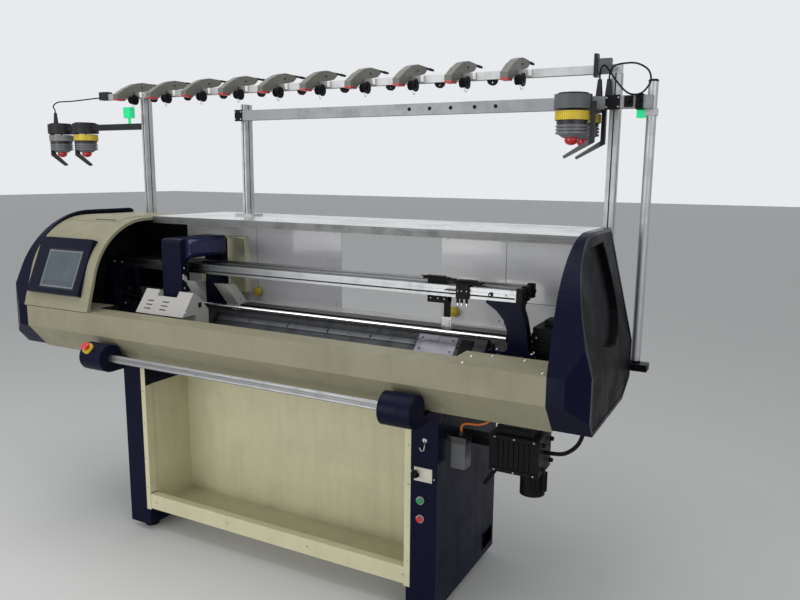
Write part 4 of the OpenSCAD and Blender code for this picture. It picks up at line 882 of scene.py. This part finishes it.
for x, width in MASTS:
    top = LOW_Z + 70 if x == MID_MAST else STAND_TOP - 29
    bottom = TABLE_TOP if x == MID_MAST else BEAM_TOP
    # Thin dark strips in the grooves of the masts: painted shade.
    cuboid(grooves, (x - 2.2, x + 2.2), (274.7, 276), (bottom, top), 0.3, 1)
    cuboid(grooves, (x + width - 1, x + width + 0.3), (297.5, 302.5), (bottom, top), 0.3, 1)
for x in (LEFT_MAST, RIGHT_MAST):
    screw(bolts, (x, 286, STAND_TOP - 14), (0, -1, 0), 5)
bar(clamps, (REAR_POLE, 300, LOW_Z + 87), (REAR_POLE, 300, LOW_Z + 95), 17.5, 15, edge=2)
piece("stand_clamps", clamps, black)
piece("stand_bolts", bolts, fixing_steel)
piece("mast_groove_shade", grooves, iron)

# %% [markdown]
# Head: a shallow lid with one dark slot lies on the round shoulder, and a black seam shows where the head
# meets the beam. The lid is an arc about the centre of the shoulder, spun in twelve steps, and runs on flat
# over the top.

# %% Lid and slots on the head
LID_X, LID_R, LID_ANGLES, LID_BACK = (-1112, -818), (296, 300.2), (0, 20), 74
SLOT_X, SLOT_R, SLOT_ANGLES = (-960, -838), (296, 300.7), (16, 17.6)


def arc_plate(name, x, radii, angles, finish, edge, flat=0):
    mesh = bmesh.new()
    middle = Vector((0, SHOULDER_Y, SHOULDER_Z))
    start, end = [math.radians(a) for a in angles]
    inner, outer = radii
    corners = ((x[0], inner), (x[1], inner), (x[1], outer), (x[0], outer))
    face = mesh.faces.new([mesh.verts.new(middle + Vector((px, 0, r))) for px, r in corners])
    bmesh.ops.rotate(mesh, verts=mesh.verts, cent=middle, matrix=Matrix.Rotation(start, 3, "X"))
    bmesh.ops.spin(mesh, geom=[face], cent=middle, axis=(1, 0, 0), angle=end - start, steps=12)
    bmesh.ops.recalc_face_normals(mesh, faces=mesh.faces)
    blunt(mesh, list(mesh.verts), edge, 1)
    if flat:
        cuboid(mesh, x, (SHOULDER_Y - 0.5, flat), (SHOULDER_Z + inner, SHOULDER_Z + outer), edge, 1)
    piece(name, mesh, finish)


arc_plate("head_lid", LID_X, LID_R, LID_ANGLES, beige, 0.8, LID_BACK)
# The slot is a thin black strip on the lid: painted shade of the opening.
arc_plate("head_slot_shade", SLOT_X, SLOT_R, SLOT_ANGLES, black, 0.3)
seam = bmesh.new()
cuboid(seam, (-1086, -980), (28, 36), (HEAD_Z[1] + 1, HEAD_Z[1] + 2.7), 0.3, 1)
cuboid(seam, (HEAD_X[0] + 17, HEAD_X[1]), (-348.7, -345), (LEDGE - 0.9, LEDGE + 0.9), 0.3, 1)
cuboid(seam, (HEAD_X[1] - 1, HEAD_X[1] + 0.7), (-346, -330), (LEDGE + 0.5, LEDGE + 1.6), 0.2, 1)
piece("head_seams", seam, black)

# %% [markdown]
# Small fittings of the cabinets: screws beside the breaker plate, on the tray lip, on the flanges of the
# lining and on the outer side of the right cabinet, a wire hook under the beam, and a frame round the vent
# at the bottom of that side.

# %% Small fittings of the cabinets
LIP_X, LIP_Z = (-574, -190, 196, 599), 141
FLANGE_X, FLANGE_Z = 619, (200, 330, 480, 620)
SIDE_X = (CABINET_X[1] - 1, CABINET_X[1] + 2.5)
VENT_Y, VENT_Z, VENT_FRAME = (226, 327), (56, 128), 3.5
bolts, dark_bits = bmesh.new(), bmesh.new()
front = CABINET_Y[0]
for x, z in ((629, 530), (714, 515)):
    screw(bolts, (x, front, z), (0, -1, 0), 3.6)
for x in LIP_X:
    screw(bolts, (x, front, LIP_Z), (0, -1, 0), 4)
for end in (-1, 1):
    for z in FLANGE_Z:
        screw(bolts, (end * FLANGE_X, front - 2, z), (0, -1, 0), 3.2)
turned(bolts, (678, front, 646), (0, -1, 0), [(0, 0), (9, 0), (9, 3), (6, 5), (0, 5)], 20)
hook = [(678, front - 4, 646), (684, front - 14, 634), (682, front - 17, 618), (672, front - 15, 612),
        (664, front - 12, 622)]
for a, b in zip(hook, hook[1:]):
    bar(bolts, a, b, 1.8, sides=10)
for y in (VENT_Y[0], VENT_Y[1] - VENT_FRAME):
    cuboid(dark_bits, SIDE_X, (y, y + VENT_FRAME), VENT_Z, 0.8)
for z in (VENT_Z[0], VENT_Z[1] - VENT_FRAME):
    cuboid(dark_bits, SIDE_X, VENT_Y, (z, z + VENT_FRAME), 0.8)
for y in (-150, -20, 110, 240):
    screw(dark_bits, (CABINET_X[1], y, 720), (1, 0, 0), 4)
piece("cabinet_screws", bolts, fixing_steel)
piece("cabinet_bits", dark_bits, black)

# %% [markdown]
# Rear panels: two yellow knobs turned in plastic, seams between the sheets and their fixing screws. The
# seams are thin dark strips, a hair proud of the sheet.

# %% Knobs, seams and screws of the rear panels
KNOBS_X, KNOB_Z = (-335, 593), 1006
KNOB = [(0, 0), (12, 0), (12, 6), (19, 9), (20, 16), (18, 22), (12, 25), (0, 26)]
SEAMS_X, SEAM_Y, SEAM_WIDE = (-346, 790), (PANEL_Y - 0.4, PANEL_Y + 1), 1.6
PANEL_SCREWS_X, PANEL_SCREWS_Z = (-372, -330, 60, 560, 770, 810, 1080), (985, 1280)
knobs, seams, bolts = bmesh.new(), bmesh.new(), bmesh.new()
for x in KNOBS_X:
    turned(knobs, (x, PANEL_Y, KNOB_Z), (0, -1, 0), KNOB, 28)
for x in SEAMS_X:
    cuboid(seams, (x, x + SEAM_WIDE), SEAM_Y, (962, 1300), 0.2, 1)
cuboid(seams, (536, 1098), SEAM_Y, (1061, 1061 + SEAM_WIDE), 0.2, 1)
for x in PANEL_SCREWS_X:
    for z in PANEL_SCREWS_Z:
        screw(bolts, (x, PANEL_Y, z), (0, -1, 0), 4)
piece("panel_knobs", knobs, yellow)
piece("panel_seams", seams, iron)
piece("panel_screws", bolts, fixing_steel)

# %% [markdown]
# Motors: the carriage motor shows a terminal box and cable glands, and the unit under the beam has flanges
# with bolts, ribs and glands. A rib is a plain bar with blunt edges, repeated at one spacing. Upright ribs
# stand in a ring round the foot of the unit.

# %% Fittings of the two motors
MOTOR_X, MOTOR_Y, MOTOR_Z = span("drive_motor")
TOP_GLANDS, TOP_GLAND_STEP, TOP_GLAND_Z = 3, 26, MOTOR_Z[1] - 40
LOWER_GLANDS = ((-46, 640), (44, 636), (-46, 556), (44, 560))
UNIT_RIBS, UNIT_RIB_STEP, UNIT_FLANGES = 7, 18, ((646, 660), (531, 544))
FINS, FIN_RING, FIN_Z = 12, 42.5, (462, 524)
unit, bolts = bmesh.new(), bmesh.new()
left, top = MOTOR_X[0], MOTOR_Z[1]
cuboid(unit, (left + 30, left + 82), (8, 70), (top - 1, top + 22), 3)
for y in [k * TOP_GLAND_STEP for k in range(TOP_GLANDS)]:
    bar(unit, (left + 4, y, TOP_GLAND_Z), (left - 10, y, TOP_GLAND_Z), 8, 6, edge=1)
for x in (left + 16, MOTOR_X[1] - 16):
    for z in (top - 31.5, top - 95.5):
        screw(bolts, (x, MOTOR_Y[0] + 3, z), (0, -1, 0), 4)
face = span("lower_motor")[0][1]
for y, z in LOWER_GLANDS:
    bar(unit, (face - 1, y, z), (face + 12, y, z), 9, 7, edge=1)
for x in [face - 150 + k * UNIT_RIB_STEP for k in range(UNIT_RIBS)]:
    cuboid(unit, (x, x + 6), (-74, -69), (548, 642), 1)
for z in UNIT_FLANGES:
    cuboid(unit, (face - 166, face - 6), (-75, -69), z, 1.5)
    for x in (face - 156, face - 88, face - 20):
        screw(bolts, (x, -75, sum(z) / 2), (0, -1, 0), 4)
for a in [math.tau * k / FINS for k in range(FINS)]:
    x, y = face - 38 + FIN_RING * math.cos(a), FIN_RING * math.sin(a)
    bar(unit, (x, y, FIN_Z[0]), (x, y, FIN_Z[1]), 3.5, edge=0.8, sides=10)
cuboid(unit, (face - 140, face - 40), (-62, -57), (668, 684), 1)
piece("motor_fittings", unit, black)
piece("motor_bolts", bolts, fixing_steel)

# %% [markdown]
# The ledge at the right end carries a row of screws along its back edge and two more near the front.

# %% Fasteners on the beam
LEDGE_SCREWS = ((846, -236), (905, -205), (1010, -205), (1096, -205), (852, -320), (1100, -320))
bolts = bmesh.new()
for x, y in LEDGE_SCREWS:
    screw(bolts, (x, y, LEDGE), (0, 0, 1), 5)
piece("ledge_screws", bolts, fixing_steel)

# %% [markdown]
# The floor is a plain pale plane, wide enough to reach the horizon. It is stage, not part of the machine.

# %% Floor
FLOOR_HALF = 40
floor_mesh = bmesh.new()
bmesh.ops.create_grid(floor_mesh, x_segments=1, y_segments=1, size=FLOOR_HALF)
floor_data = bpy.data.meshes.new("floor")
floor_mesh.to_mesh(floor_data)
floor = bpy.data.objects.new("floor", floor_data)
bpy.context.collection.objects.link(floor)
pale = Mat("pale_floor")
floor_tone = pale.mix(pale.noise(0.5), (0.62, 0.62, 0.61), (0.66, 0.66, 0.65))
floor_data.materials.append(pale.finish(Base_Color=floor_tone, Roughness=0.8))

# %% [markdown]
# The light is soft. A broad lamp hangs overhead, one nearly as strong stands at the front left, and two
# weaker ones lift the tray and the right side. The background is pale where the camera, a reflection or a
# clear piece sees it, and dimmer where it only lights the machine.

# %% Light
WORLD_LIGHT, WORLD_SEEN = 0.45, 0.85
world = bpy.data.worlds.new("studio")
bpy.context.scene.world = world
world.use_nodes = True
sky = world.node_tree


def either(one, other):
    larger = sky.nodes.new("ShaderNodeMath")
    larger.operation = "MAXIMUM"
    sky.links.new(one, larger.inputs[0])
    sky.links.new(other, larger.inputs[1])
    return larger.outputs[0]


rays = sky.nodes.new("ShaderNodeLightPath").outputs
seen = either(rays["Is Camera Ray"], either(rays["Is Glossy Ray"], rays["Is Transmission Ray"]))
strength = sky.nodes.new("ShaderNodeMapRange")
strength.inputs["To Min"].default_value = WORLD_LIGHT
strength.inputs["To Max"].default_value = WORLD_SEEN
sky.links.new(seen, strength.inputs["Value"])
backdrop = sky.nodes["Background"]
backdrop.inputs["Color"].default_value = (0.95, 0.97, 1.0, 1.0)
sky.links.new(strength.outputs[0], backdrop.inputs["Strength"])


def softbox(name, place, target, size, power):
    data = bpy.data.lights.new(name, "AREA")
    data.shape, data.size, data.size_y, data.energy = "RECTANGLE", size[0], size[1], power
    lamp = bpy.data.objects.new(name, data)
    lamp.location = place
    lamp.rotation_euler = (Vector(target) - Vector(place)).to_track_quat("-Z", "Y").to_euler()
    bpy.context.collection.objects.link(lamp)


softbox("ceiling", (0, -0.6, 3.6), (0, 0, 0.9), (3.6, 2.4), 50)
softbox("front_left", (-1.6, -3.8, 1.5), (0, 0, 0.7), (2.2, 1.6), 41)
softbox("low_front", (0.3, -2.6, 0.5), (-0.1, 0, 0.4), (1.4, 0.6), 9)
softbox("right_side", (3.4, -1.6, 2.0), (0.6, 0, 0.9), (1.6, 1.6), 14)
print("softboxes:", len(bpy.data.lights))

# %% [markdown]
# The camera stands where the photo was taken. Its place, its angles and its focal length were worked out
# from the vanishing lines of the beam and the cabinets in a picture 800 pixels wide.

# %% Camera
CAMERA_PLACE = (1685, -2300, 1520)
AZIMUTH, PITCH, ROLL = math.radians(27.843), math.radians(9.824), math.radians(0.519)
FOCAL_PIXELS, PHOTO_WIDTH, SENSOR = 734.23, 800, 36.0
ahead = Vector((-math.sin(AZIMUTH) * math.cos(PITCH), math.cos(AZIMUTH) * math.cos(PITCH), -math.sin(PITCH)))
right_hand = Vector((math.cos(AZIMUTH), math.sin(AZIMUTH), 0))
over = right_hand.cross(ahead)
right = right_hand * math.cos(ROLL) + over * math.sin(ROLL)
up = over * math.cos(ROLL) - right_hand * math.sin(ROLL)
lens = bpy.data.cameras.new("photo_camera")
lens.sensor_width = SENSOR
lens.lens = FOCAL_PIXELS / PHOTO_WIDTH * SENSOR
lens.clip_end = 200
camera = bpy.data.objects.new("photo_camera", lens)
turn = Matrix((right, up, -ahead)).transposed().to_4x4()
camera.matrix_world = Matrix.Translation(at(*CAMERA_PLACE)) @ turn
bpy.context.collection.objects.link(camera)
bpy.context.scene.camera = camera
bpy.context.scene.view_settings.view_transform = "Standard"
print("camera at", [round(v, 3) for v in camera.matrix_world.translation], "lens", round(lens.lens, 2))
